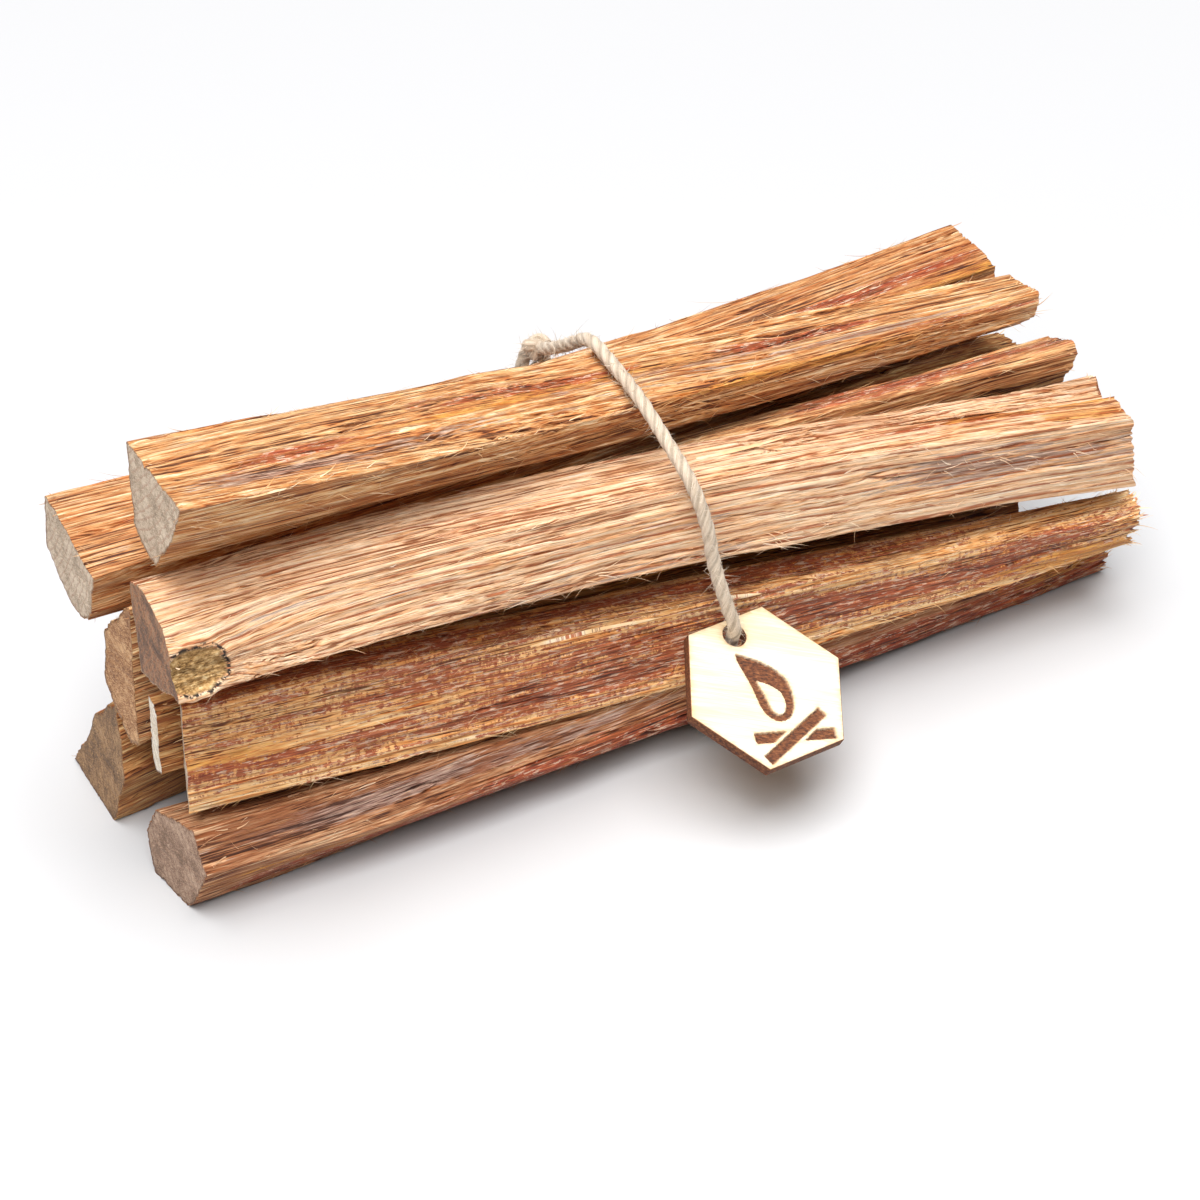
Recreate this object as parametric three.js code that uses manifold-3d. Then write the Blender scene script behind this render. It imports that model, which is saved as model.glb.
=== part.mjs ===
// A bundle of split pine kindling, lying on its side: eight sticks held by one loop of twine,
// with a small plywood tag threaded on the twine.
// Millimetres, +Z up. The sticks run along X and lie on the plane Z = 0.
// The origin is at the middle of the bundle's footprint.

import * as THREE from 'three';
import { mergeVertices } from 'three/addons/utils/BufferGeometryUtils.js';
import Module from 'manifold-3d';

// ---- Driving dimensions -------------------------------------------------------------------

const TIE_X = 8;                // where the twine holds the sticks, and their middle sections stand
const STICK_STEPS = 22;         // lengths of surface between a stick's two ends
const SIDE_STEPS = 3;           // lengths of surface between two corners of a section
const HOLLOW = 0.35;            // how far a split side sinks or swells between its corners
const HOLLOW_WAVE = 70;         // length of one swell along a stick

const TWINE_DIAMETER = 2.6;
const TWINE_SIDES = 8;
const TWINE_STEPS = 76;
const TAIL_STEPS = 6;
const KNOT_SIZE = [3.4, 2.9, 2.9];     // half length, half width and half height of the knot

const TAG_SIDE = 16.75;         // one edge of the hexagon
const TAG_THICKNESS = 2.4;
const TAG_HOLE_DIAMETER = 4.4;
const TAG_HOLE_RADIUS = 11.2;   // from the tag's centre, towards the middle of one edge
const TAG_CENTRE = [15.2, -34.5, 21.7];
const TAG_FACE = [0.11, -0.5, 0.86];   // the way the tag's front faces
const TAG_CORNER = [0.39, 0.82, 0.42]; // the way its uppermost corner points

const SHIFT = [-7.9, 3.5, 0];   // from the places below to the bundle's own origin

// Each stick has three sections: at its near end, at the tie and at its far end. A section is
// a list of [y, z] corners, clockwise in the Y-Z plane from the top front one. `ends` gives
// the X of the two end faces at the section's first corner, and `rakes` how much X changes
// along an end face for each millimetre of Y and of Z.
const STICKS = [
  {
    name: 'stick_top_front', colour: 0xd8a066, phase: 0.4,
    ends: [-88.5, 103], rakes: [[0, 0], [-0.1, 0.2]],
    near: [[-27, 85.4], [-2.8, 85], [-2.6, 68.6], [-12.2, 66.4], [-20.2, 74.6]],
    tie: [[-4, 66.5], [12.5, 69.5], [13, 59], [6, 55.5], [-0.5, 58.2]],
    far: [[15.8, 55.5], [25, 55.5], [25.5, 48], [21, 45.8], [15, 51]],
  },
  {
    name: 'stick_top_back', colour: 0xcf8f52, phase: 1.9,
    ends: [-95, 100], rakes: [[0, 0], [-0.15, 0]],
    near: [[1.1, 57.7], [24.9, 61.2], [26.8, 49.8], [15.3, 43.5], [6.5, 46]],
    tie: [[15.5, 57.5], [32, 57.5], [33, 43.5], [24, 41.5], [15.2, 43]],
    far: [[26.4, 57], [40.9, 60.2], [42, 45], [36, 42.4], [27.5, 43]],
  },
  {
    name: 'stick_middle_front', colour: 0xd9ab74, phase: 3.1,
    ends: [-92.5, 105], rakes: [[0.05, 0], [0.1, -0.1]],
    near: [[-25, 62.5], [-11, 64], [-6.6, 59.3], [-9.6, 44.5], [-31, 51.5]],
    tie: [[-19, 57], [-3, 56.5], [-2.6, 50], [-4, 40], [-21, 43]],
    far: [[-15, 43], [-3.5, 45], [1.2, 43.8], [1.5, 31], [-15.5, 28.5]],
  },
  {
    name: 'stick_middle_back', colour: 0xb4713f, phase: 4.4,
    ends: [-91, 102], rakes: [[-0.25, 0], [0, 0.1]],
    near: [[-3.7, 53.5], [4.5, 45], [6, 33.7], [-0.5, 23.5], [-3.4, 25]],
    tie: [[-1, 53.5], [8.5, 50], [12, 42], [7, 34], [-1, 38]],
    far: [[-0.5, 50.5], [2.5, 52], [10.5, 49], [13.5, 40], [5.5, 38]],
  },
  {
    name: 'stick_inner', colour: 0x9a6238, phase: 5.2,
    ends: [-90, 95], rakes: [[0, 0], [0.2, -0.25]],
    near: [[-10.5, 37], [-7, 37.3], [-6.2, 26], [-7.8, 22], [-10.8, 23]],
    tie: [[-4.6, 31.4], [-0.4, 30.2], [7.6, 20.5], [4.5, 15.5], [-3, 16.8]],
    far: [[6.5, 17], [14, 16], [20.5, 5], [19, -1.2], [10.5, -1.2]],
  },
  {
    name: 'stick_lower_front', colour: 0xcb8a55, phase: 0.9,
    ends: [-88.5, 107], rakes: [[0.33, 0], [0.1, 0.1]],
    near: [[-19.1, 41.6], [-12.8, 41.5], [-12.8, 22], [-16, 20], [-20.8, 20.4]],
    tie: [[-19.5, 33.5], [-8.5, 32], [-7, 19], [-11, 16.2], [-19, 15.8]],
    far: [[-17.5, 22], [-11, 24], [-4, 19.5], [-3, 12.8], [-14.8, 14.2]],
  },
  {
    name: 'stick_bottom_back', colour: 0x8f6038, phase: 2.6,
    ends: [-90.3, 104], rakes: [[0, 0.11], [0, 0.15]],
    near: [[10.8, 24], [20, 16.5], [30.5, -1.5], [10.3, -1.5], [5, 12]],
    tie: [[15, 38.6], [27, 37], [32, 22], [20, 10], [12.5, 20]],
    far: [[18, 40.5], [30, 39], [34, 27], [23, 22], [17.5, 30]],
  },
  {
    name: 'stick_bottom_front', colour: 0xc08a58, phase: 3.7,
    ends: [-89, 110], rakes: [[-0.15, 0.04], [0.1, 0.1]],
    near: [[-22, 18], [-9, 14.5], [-5.5, 8], [-8, -1.6], [-19.5, -1.6], [-26.5, 11]],
    tie: [[-17, 14.4], [-7, 14], [-2.5, 11.2], [-3, 3.7], [-15, 3.7], [-19.5, 7.5]],
    far: [[-3.5, 12], [2, 12], [5.8, 10], [8, -1.6], [-2, -1.6], [-4.6, 5]],
  },
];

// The twine's way round the bundle at the middle of the twine, from the knot, over the top,
// down the front, through the tag, under the sticks and up the back to the knot again.
const TWINE_ROUTE = [
  [4.2, 34.2, 59.8], [4.3, 29.6, 61.8], [4.4, 21.4, 66.8], [4.6, 13, 71.9], [5, 4, 71],
  [5.4, -5, 68.9], [6.6, -12.4, 64.3], [7.8, -20.2, 58.9], [9, -23.5, 52], [10.4, -24.2, 43.5],
  [12.2, -26, 35.5], [13.3, -26.7, 31.2], [13.9, -24.9, 27.4], [14.5, -22.6, 23],
  [15, -21.6, 17], [15, -21.8, 11], [14.5, -20.4, 5], [13.8, -15, 1.8], [12.6, -5, 1.8],
  [11.4, 6, 3], [10, 19, 7.2], [8.4, 28.8, 13], [6.8, 34.3, 22.4], [5.6, 35.2, 36],
  [4.8, 35.4, 46], [4.3, 35.2, 56],
];
const TAIL_ROUTES = [
  [[4.2, 34.4, 59], [3.4, 37.2, 57], [2.8, 38, 53], [2.2, 38, 48.5]],
  [[4.2, 34.4, 59], [6, 37.2, 57], [7.8, 38, 53.5], [8.6, 38, 50]],
];

// ---- Solids -------------------------------------------------------------------------------

const wasm = await Module();
wasm.setup();

function toManifold(geometry) {
  const bare = geometry.clone();
  bare.deleteAttribute('normal');
  bare.deleteAttribute('uv');
  const merged = mergeVertices(bare, 1e-4);
  return new wasm.Manifold(new wasm.Mesh({
    numProp: 3,
    vertProperties: new Float32Array(merged.attributes.position.array),
    triVerts: new Uint32Array(merged.index.array),
  }));
}

function toGeometry(solid) {
  const mesh = solid.getMesh();
  const geometry = new THREE.BufferGeometry();
  geometry.setAttribute('position', new THREE.BufferAttribute(mesh.vertProperties, 3));
  geometry.setIndex(new THREE.BufferAttribute(mesh.triVerts, 1));
  geometry.computeVertexNormals();
  return geometry;
}

function node(name, geometry, colour, roughness) {
  const material = new THREE.MeshStandardMaterial({ color: colour, roughness, metalness: 0 });
  const mesh = new THREE.Mesh(geometry, material);
  mesh.name = name;
  return mesh;
}

// ---- Sticks -------------------------------------------------------------------------------

// The value at x of the curve through three values at the near end, the tie and the far end.
function bow(near, tie, far, [nearX, farX], x) {
  const a = (x - TIE_X) * (x - farX) / ((nearX - TIE_X) * (nearX - farX));
  const b = (x - nearX) * (x - farX) / ((TIE_X - nearX) * (TIE_X - farX));
  const c = (x - nearX) * (x - TIE_X) / ((farX - nearX) * (farX - TIE_X));
  return a * near + b * tie + c * far;
}

// The [y, z] of one corner of a stick where it crosses x.
function cornerAt(stick, corner, x) {
  return [0, 1].map((axis) => bow(
    stick.near[corner][axis], stick.tie[corner][axis], stick.far[corner][axis], stick.ends, x));
}

// The point at `along` (0 to 1) between two corners at x, sunk or swollen a little, and never
// lower than the plane that the bundle lies on.
function sidePoint(stick, corner, along, x) {
  const next = (corner + 1) % stick.near.length;
  const [y0, z0] = cornerAt(stick, corner, x);
  const [y1, z1] = cornerAt(stick, next, x);
  const wave = Math.sin(2 * Math.PI * x / HOLLOW_WAVE + stick.phase + 2 * corner);
  const depth = -HOLLOW * Math.sin(Math.PI * along) * (0.6 + 0.4 * wave);
  const length = Math.hypot(y1 - y0, z1 - z0);
  const y = THREE.MathUtils.lerp(y0, y1, along) - depth * (z1 - z0) / -length;
  const z = THREE.MathUtils.lerp(z0, z1, along) - depth * (y1 - y0) / length;
  return [y, Math.max(0, z)];
}

// Where the end face that `which` names (0 near, 1 far) crosses a corner line.
function endX(stick, which, corner, along) {
  const section = which === 0 ? stick.near : stick.far;
  const next = section[(corner + 1) % section.length];
  const y = THREE.MathUtils.lerp(section[corner][0], next[0], along) - section[0][0];
  const z = THREE.MathUtils.lerp(section[corner][1], next[1], along) - section[0][1];
  return stick.ends[which] + stick.rakes[which][0] * y + stick.rakes[which][1] * z;
}

function stickGeometry(stick) {
  const ringSize = stick.near.length * SIDE_STEPS;
  const positions = [];
  for (let step = 0; step <= STICK_STEPS; step += 1) {
    for (let k = 0; k < ringSize; k += 1) {
      const corner = Math.floor(k / SIDE_STEPS);
      const along = (k % SIDE_STEPS) / SIDE_STEPS;
      const x = THREE.MathUtils.lerp(
        endX(stick, 0, corner, along), endX(stick, 1, corner, along), step / STICK_STEPS);
      positions.push(x, ...sidePoint(stick, corner, along, x));
    }
  }
  const index = [];
  for (let step = 0; step < STICK_STEPS; step += 1) {
    for (let k = 0; k < ringSize; k += 1) {
      const a = step * ringSize + k;
      const b = step * ringSize + (k + 1) % ringSize;
      index.push(a, a + ringSize, b, b, a + ringSize, b + ringSize);
    }
  }
  for (const first of [0, STICK_STEPS * ringSize]) {
    const outline = [];
    for (let k = 0; k < ringSize; k += 1) {
      outline.push(new THREE.Vector2(positions[3 * (first + k) + 1], positions[3 * (first + k) + 2]));
    }
    for (const face of THREE.ShapeUtils.triangulateShape(outline, [])) {
      const clockwise = THREE.ShapeUtils.isClockWise(face.map((corner) => outline[corner]));
      if (clockwise !== (first === 0)) face.reverse();
      index.push(...face.map((corner) => first + corner));
    }
  }
  const geometry = new THREE.BufferGeometry();
  geometry.setAttribute('position', new THREE.Float32BufferAttribute(positions, 3));
  geometry.setIndex(index);
  geometry.computeVertexNormals();
  return geometry;
}

// ---- Twine --------------------------------------------------------------------------------

function twineTube(route, steps) {
  const section = new THREE.Shape(new THREE.EllipseCurve(
    0, 0, TWINE_DIAMETER / 2, TWINE_DIAMETER / 2, 0, 2 * Math.PI).getPoints(TWINE_SIDES).slice(1));
  const path = new THREE.CatmullRomCurve3(route.map((point) => new THREE.Vector3(...point)));
  return toManifold(new THREE.ExtrudeGeometry(section, { steps, extrudePath: path }));
}

function knotLump() {
  const lump = new THREE.SphereGeometry(1, 12, 8);
  lump.scale(...KNOT_SIZE);
  lump.translate(...TWINE_ROUTE[0]);
  return toManifold(lump);
}

function twineGeometry() {
  let twine = twineTube(TWINE_ROUTE, TWINE_STEPS).add(knotLump());
  for (const tail of TAIL_ROUTES) {
    twine = twine.add(twineTube(tail, TAIL_STEPS));
  }
  return toGeometry(twine);
}

// ---- Tag ----------------------------------------------------------------------------------

function tagGeometry() {
  const outline = new THREE.Shape();
  for (let k = 0; k < 6; k += 1) {
    const angle = Math.PI / 2 + k * Math.PI / 3;
    const corner = [TAG_SIDE * Math.cos(angle), TAG_SIDE * Math.sin(angle)];
    if (k === 0) outline.moveTo(...corner);
    else outline.lineTo(...corner);
  }
  const toEdge = Math.PI / 2 + Math.PI / 6;
  const hole = new THREE.Path();
  hole.absarc(TAG_HOLE_RADIUS * Math.cos(toEdge), TAG_HOLE_RADIUS * Math.sin(toEdge),
    TAG_HOLE_DIAMETER / 2, 0, 2 * Math.PI, true);
  outline.holes.push(hole);
  const plate = new THREE.ExtrudeGeometry(
    outline, { depth: TAG_THICKNESS, bevelEnabled: false, curveSegments: 12 });
  plate.translate(0, 0, -TAG_THICKNESS / 2);
  return plate;
}

// Leans the tag as it hangs: its front towards TAG_FACE, its top corner towards TAG_CORNER.
function placeTag(tag) {
  const face = new THREE.Vector3(...TAG_FACE).normalize();
  const right = new THREE.Vector3(...TAG_CORNER).cross(face).normalize();
  const up = new THREE.Vector3().crossVectors(face, right);
  tag.quaternion.setFromRotationMatrix(new THREE.Matrix4().makeBasis(right, up, face));
  tag.position.set(...TAG_CENTRE);
}

// ---- Bundle -------------------------------------------------------------------------------

const bundle = new THREE.Group();
bundle.position.set(...SHIFT);
for (const stick of STICKS) {
  bundle.add(node(stick.name, stickGeometry(stick), stick.colour, 0.7));
}
bundle.add(node('twine', twineGeometry(), 0xb8a68e, 0.95));
const tag = node('tag', tagGeometry(), 0xf3e3c0, 0.6);
placeTag(tag);
bundle.add(tag);

export default bundle;
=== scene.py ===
"""A bundle of split pine kindling, tied with jute twine that carries a small plywood tag.

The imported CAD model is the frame: each stick's surface is worked out from its CAD solid, and
the grain, splits, torn fibres, burrs and knots are added to it as real shape. Lengths are in
millimetres here and become metres when a mesh is made.
"""

import logging
import math
from collections.abc import Sequence
from dataclasses import dataclass, field
from enum import Enum

import bpy
import mathutils
import numpy as np
from mathutils.geometry import delaunay_2d_cdt
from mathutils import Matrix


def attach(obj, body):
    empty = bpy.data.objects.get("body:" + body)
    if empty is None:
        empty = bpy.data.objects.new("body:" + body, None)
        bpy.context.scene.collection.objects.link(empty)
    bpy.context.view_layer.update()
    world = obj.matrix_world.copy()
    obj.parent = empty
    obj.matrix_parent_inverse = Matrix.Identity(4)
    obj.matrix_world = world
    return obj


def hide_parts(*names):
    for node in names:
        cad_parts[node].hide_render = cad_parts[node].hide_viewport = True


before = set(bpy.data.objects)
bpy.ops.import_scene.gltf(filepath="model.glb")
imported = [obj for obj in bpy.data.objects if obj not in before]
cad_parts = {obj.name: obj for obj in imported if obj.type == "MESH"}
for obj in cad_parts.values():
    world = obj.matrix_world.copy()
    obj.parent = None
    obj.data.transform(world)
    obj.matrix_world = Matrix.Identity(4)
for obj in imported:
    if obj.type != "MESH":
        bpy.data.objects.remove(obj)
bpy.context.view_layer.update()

LOG = logging.getLogger("kindling")
MM = 0.001
BODY = "root"
ORIGIN_SHIFT = np.array([-7.9, 3.5, 0.0])  # from the places of the twine's route to the frame
FLOOR_GAP = 0.02  # the least height of a point, in mm
PLANT_IOR = 1.5  # of wood and of jute


# ---- Numbers and noise ----------------------------------------------------------------------


def smooth(value: np.ndarray, low: float, high: float) -> np.ndarray:
    """The smooth step of value: 0 below low, 1 above high, 3t^2 - 2t^3 between them."""
    t = np.clip((value - low) / (high - low), 0.0, 1.0)
    return t * t * (3.0 - 2.0 * t)


def unit(vectors: np.ndarray) -> np.ndarray:
    """The vectors, each divided by its length."""
    return vectors / np.maximum(np.linalg.norm(vectors, axis=-1, keepdims=True), 1e-9)


class SlopeNoise:
    """Smooth noise in space, from about -1 to 1, the same on each run.

    Each corner of a unit cube lattice has a random slope. A point's value is the blend of the
    heights that its cube's eight slopes give there, weighted by a smooth step along each axis.
    """

    TABLE = 256

    def __init__(self, seed: int) -> None:
        """Draws the slopes.

        Args:
            seed: The number that the slopes follow from.
        """
        rng = np.random.default_rng(seed)
        self.order = np.tile(rng.permutation(self.TABLE), 2)
        self.slopes = unit(rng.normal(size=(self.TABLE, 3)))

    def __call__(self, points: np.ndarray, size: tuple[float, float, float]) -> np.ndarray:
        """Evaluates the noise.

        Args:
            points: Places, in millimetres, with x, y and z on the last axis.
            size: How long a feature is along each axis, in millimetres.

        Returns:
            One value for each place.
        """
        scaled = points / np.array(size)
        cell = np.floor(scaled).astype(np.int64)
        inside = scaled - cell
        cell &= self.TABLE - 1
        weight = inside**3 * (inside * (inside * 6.0 - 15.0) + 10.0)
        total = np.zeros(points.shape[:-1])
        for corner in np.ndindex(2, 2, 2):
            step = np.array(corner)
            at = (cell + step) & (self.TABLE - 1)
            key = self.order[self.order[self.order[at[..., 0]] + at[..., 1]] + at[..., 2]]
            height = np.sum(self.slopes[key] * (inside - step), axis=-1)
            share = np.prod(np.where(step == 1, weight, 1.0 - weight), axis=-1)
            total += share * height
        return 1.6 * total


# ---- Meshes ---------------------------------------------------------------------------------


@dataclass
class Shape:
    """Vertices in millimetres, triangles, and values that the finishes read at each vertex."""

    vertices: np.ndarray
    triangles: np.ndarray
    values: dict[str, np.ndarray] = field(default_factory=dict)

    def joined(self, other: "Shape") -> "Shape":
        """This shape and another as one, with the values that both have."""
        return Shape(
            np.concatenate([self.vertices, other.vertices]),
            np.concatenate([self.triangles, other.triangles + len(self.vertices)]),
            {key: np.concatenate([self.values[key], other.values[key]]) for key in self.values},
        )


def lattice(rows: int, columns: int, closed: bool = True) -> np.ndarray:
    """Triangles of a grid of rows by columns points.

    Args:
        rows: How many rows of points there are.
        columns: How many points a row has.
        closed: Whether a row's last point joins its first.

    Returns:
        Rows of three point numbers, turned so that (next row) x (next column) faces out.
    """
    row, column = np.meshgrid(
        np.arange(rows - 1), np.arange(columns if closed else columns - 1), indexing="ij"
    )
    beside = (column + 1) % columns
    a, b = row * columns + column, row * columns + beside
    c, d = (row + 1) * columns + column, (row + 1) * columns + beside
    return np.stack([np.stack([a, c, b], -1), np.stack([b, c, d], -1)], 2).reshape(-1, 3)


def tube(rows: int, columns: int) -> np.ndarray:
    """Triangles of a closed tube: a lattice whose rows are rings, with a fan over each end.

    Args:
        rows: How many rings there are.
        columns: How many points a ring has.

    Returns:
        Rows of three point numbers, which face out as the lattice's do.
    """
    first = np.arange(columns - 2)
    fan = np.stack([0 * first, first + 1, first + 2], -1)
    return np.concatenate([lattice(rows, columns), fan, fan[:, ::-1] + (rows - 1) * columns])


def rods(points: np.ndarray) -> np.ndarray:
    """Triangles of many thin tubes: points holds, for each, its rings of X, Y and Z."""
    many, rows, columns = points.shape[:3]
    first = rows * columns * np.arange(many)[:, None, None]
    return (tube(rows, columns) + first).reshape(-1, 3)


def make_piece(
    name: str, shape: Shape, finish: bpy.types.Material, sharp: float = 50.0
) -> bpy.types.Object:
    """Makes an object of a shape, at the origin, with its place in its mesh.

    Args:
        name: The piece's name.
        shape: The shape, in millimetres.
        finish: The piece's material.
        sharp: Edges that turn by more than this, in degrees, are drawn sharp.

    Returns:
        The new object.
    """
    mesh = bpy.data.meshes.new(name)
    mesh.vertices.add(len(shape.vertices))
    mesh.vertices.foreach_set("co", (shape.vertices * MM).astype(np.float32).ravel())
    mesh.loops.add(shape.triangles.size)
    mesh.loops.foreach_set("vertex_index", shape.triangles.astype(np.int32).ravel())
    mesh.polygons.add(len(shape.triangles))
    mesh.polygons.foreach_set("loop_start", np.arange(0, shape.triangles.size, 3, dtype=np.int32))
    for key, value in shape.values.items():
        vector = value.ndim == 2
        layer = mesh.attributes.new(key, "FLOAT_VECTOR" if vector else "FLOAT", "POINT")
        layer.data.foreach_set("vector" if vector else "value", value.astype(np.float32).ravel())
    mesh.update(calc_edges=True)
    mesh.polygons.foreach_set("use_smooth", np.ones(len(shape.triangles), dtype=bool))
    mesh.set_sharp_from_angle(angle=math.radians(sharp))
    mesh.materials.append(finish)
    piece = bpy.data.objects.new(name, mesh)
    bpy.context.scene.collection.objects.link(piece)
    return piece


def register(piece: bpy.types.Object, slot: str, *nodes: str) -> None:
    """Ties a piece to the body.

    Args:
        piece: The piece.
        slot: Not used.
        nodes: The CAD nodes that it stands for.
    """
    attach(piece, BODY)
    if nodes:
        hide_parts(*nodes)
    LOG.info("%s: %d triangles", piece.name, len(piece.data.polygons))


# ---- Materials ------------------------------------------------------------------------------


def linear(colour: str) -> tuple[float, float, float, float]:
    """A linear colour, with full alpha, from an sRGB hex value such as '#d8b27a'."""
    parts = [int(colour[i : i + 2], 16) / 255.0 for i in (1, 3, 5)]
    return (*[p / 12.92 if p <= 0.04045 else ((p + 0.055) / 1.055) ** 2.4 for p in parts], 1.0)


def add(
    tree: bpy.types.NodeTree, kind: str, settings: dict | None = None, inputs: dict | None = None
) -> bpy.types.Node:
    """Adds a node to a material's tree.

    Args:
        tree: The node tree.
        kind: The node's type.
        settings: Properties to set, by name.
        inputs: Socket name or number to the output that feeds it, or to its value.

    Returns:
        The node.
    """
    node = tree.nodes.new(kind)
    for key, value in (settings or {}).items():
        setattr(node, key, value)
    for key, value in (inputs or {}).items():
        if isinstance(value, bpy.types.NodeSocket):
            tree.links.new(value, node.inputs[key])
        else:
            node.inputs[key].default_value = value
    return node


Socket = bpy.types.NodeSocket
Value = Socket | float


class Painter:
    """Short words for the sums and layers that the finishes are painted with."""

    def __init__(self, name: str) -> None:
        """Starts an empty material.

        Args:
            name: The material's name.
        """
        self.material = bpy.data.materials.new(name)
        self.material.use_nodes = True
        self.tree = self.material.node_tree
        self.tree.nodes.clear()

    def value(self, name: str) -> Socket:
        """The number that a piece holds at each vertex under a name."""
        return add(self.tree, "ShaderNodeAttribute", {"attribute_name": name}).outputs["Fac"]

    def vector(self, name: str) -> Socket:
        """The vector that a piece holds at each vertex under a name."""
        return add(self.tree, "ShaderNodeAttribute", {"attribute_name": name}).outputs["Vector"]

    def split(self, vector: Socket) -> tuple[Socket, ...]:
        """The X, Y and Z of a vector."""
        return tuple(add(self.tree, "ShaderNodeSeparateXYZ", None, {0: vector}).outputs)

    def sum(self, operation: str, first: Value, second: Value = 0.0, third: Value = 0.0) -> Socket:
        """Works out one sum of numbers.

        Args:
            operation: Such as ADD, MULTIPLY or MULTIPLY_ADD, which adds third to the product.
            first: The first number.
            second: The second number.
            third: The third number.

        Returns:
            The sum.
        """
        node = add(
            self.tree, "ShaderNodeMath", {"operation": operation}, {0: first, 1: second, 2: third}
        )
        return node.outputs[0]

    def weighed(self, base: Value, *terms: tuple[Value, Value]) -> Socket:
        """A base number plus each term's number times its weight."""
        for value, weight in terms:
            base = self.sum("MULTIPLY_ADD", value, weight, base)
        return base

    def vector_sum(
        self, operation: str, first: Socket, second: tuple[float, float, float] = (0.0, 0.0, 0.0)
    ) -> bpy.types.Node:
        """Works out one sum of vectors.

        Args:
            operation: Such as DIVIDE, SUBTRACT or LENGTH.
            first: The first vector.
            second: The second vector.

        Returns:
            The sum's node.
        """
        settings = {"operation": operation}
        return add(self.tree, "ShaderNodeVectorMath", settings, {0: first, 1: second})

    def step(self, value: Value, low: float, high: float, top: float = 1.0) -> Socket:
        """Rises smoothly from 0 to top as a number goes from low to high.

        Args:
            value: The number.
            low: Where the rise starts.
            high: Where it ends.
            top: The height that it reaches.

        Returns:
            The height.
        """
        node = add(
            self.tree,
            "ShaderNodeMapRange",
            {"interpolation_type": "SMOOTHSTEP"},
            {"Value": value, "From Min": low, "From Max": high, "To Max": top},
        )
        return node.outputs[0]

    def noise(
        self,
        place: Socket,
        size: tuple[float, float, float],
        detail: float = 2.0,
        rough: float = 0.5,
    ) -> Socket:
        """Noise from 0 to 1.

        Args:
            place: Where it is read, in millimetres.
            size: How long a feature is along each axis, in millimetres.
            detail: How many finer layers it has.
            rough: How strong each finer layer is.

        Returns:
            The noise.
        """
        scaled = self.vector_sum("DIVIDE", place, size).outputs[0]
        inputs = {"Vector": scaled, "Scale": 1.0, "Detail": detail, "Roughness": rough}
        settings = {"noise_dimensions": "3D"}
        return add(self.tree, "ShaderNodeTexNoise", settings, inputs).outputs["Fac"]

    def ramp(self, value: Socket, places: Sequence[float], colours: Sequence[str]) -> Socket:
        """Looks a colour up along a row of stops.

        Args:
            value: Where along the row to look.
            places: Where the stops are.
            colours: The stops' hex colours.

        Returns:
            The colour.
        """
        node = add(self.tree, "ShaderNodeValToRGB", None, {"Fac": value})
        elements = node.color_ramp.elements
        for place in places[2:]:
            elements.new(place)
        for element, place, colour in zip(elements, places, colours):
            element.position = place
            element.color = linear(colour)
        return node.outputs["Color"]

    def mix(self, amount: Value, under: Socket, over: Socket | str) -> Socket:
        """Lays a colour over another.

        Args:
            amount: How much of the upper colour shows.
            under: The lower colour.
            over: The upper colour, which may be a hex value.

        Returns:
            The mixed colour.
        """
        colours = [linear(c) if isinstance(c, str) else c for c in (under, over)]
        inputs = {0: amount, 6: colours[0], 7: colours[1]}
        return add(self.tree, "ShaderNodeMix", {"data_type": "RGBA"}, inputs).outputs[2]

    def bump(self, height: Socket, depth: float, sunken: bool = False) -> Socket:
        """Bends the normal by a relief.

        Args:
            height: The relief, from 0 to 1.
            depth: The relief's whole range, in millimetres.
            sunken: Whether the relief's high places sink.

        Returns:
            The bent normal.
        """
        inputs = {"Height": height, "Distance": depth * MM, "Strength": 1.0}
        return add(self.tree, "ShaderNodeBump", {"invert": sunken}, inputs).outputs["Normal"]

    def finish(
        self,
        colour: Socket | tuple,
        roughness: Value,
        normal: Socket | None = None,
        **sockets: float,
    ) -> bpy.types.Material:
        """Closes the material with its surface shader and returns it.

        Args:
            colour: The base colour.
            roughness: The roughness, a number or an output.
            normal: The bent normal, if there is one.
            sockets: Further shader sockets, with _ for a space in a name.

        Returns:
            The material.
        """
        inputs = {"Base Color": colour, "Roughness": roughness}
        inputs.update({key.replace("_", " "): value for key, value in sockets.items()})
        if normal is not None:
            inputs["Normal"] = normal
        shader = add(self.tree, "ShaderNodeBsdfPrincipled", None, inputs)
        add(self.tree, "ShaderNodeOutputMaterial", None, {"Surface": shader.outputs[0]})
        return self.material


@dataclass
class Figure:
    """The noises, from 0 to 1, that break up every layer of a wood, and the place they read."""

    place: Socket  # in the grain, in mm
    fibre: Socket  # as fine as a fibre
    line: Socket  # in long lines
    flake: Socket  # in short flakes
    band: Socket  # in wide bands
    zone: Socket  # in wide patches
    broken: Socket  # the first three together


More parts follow.
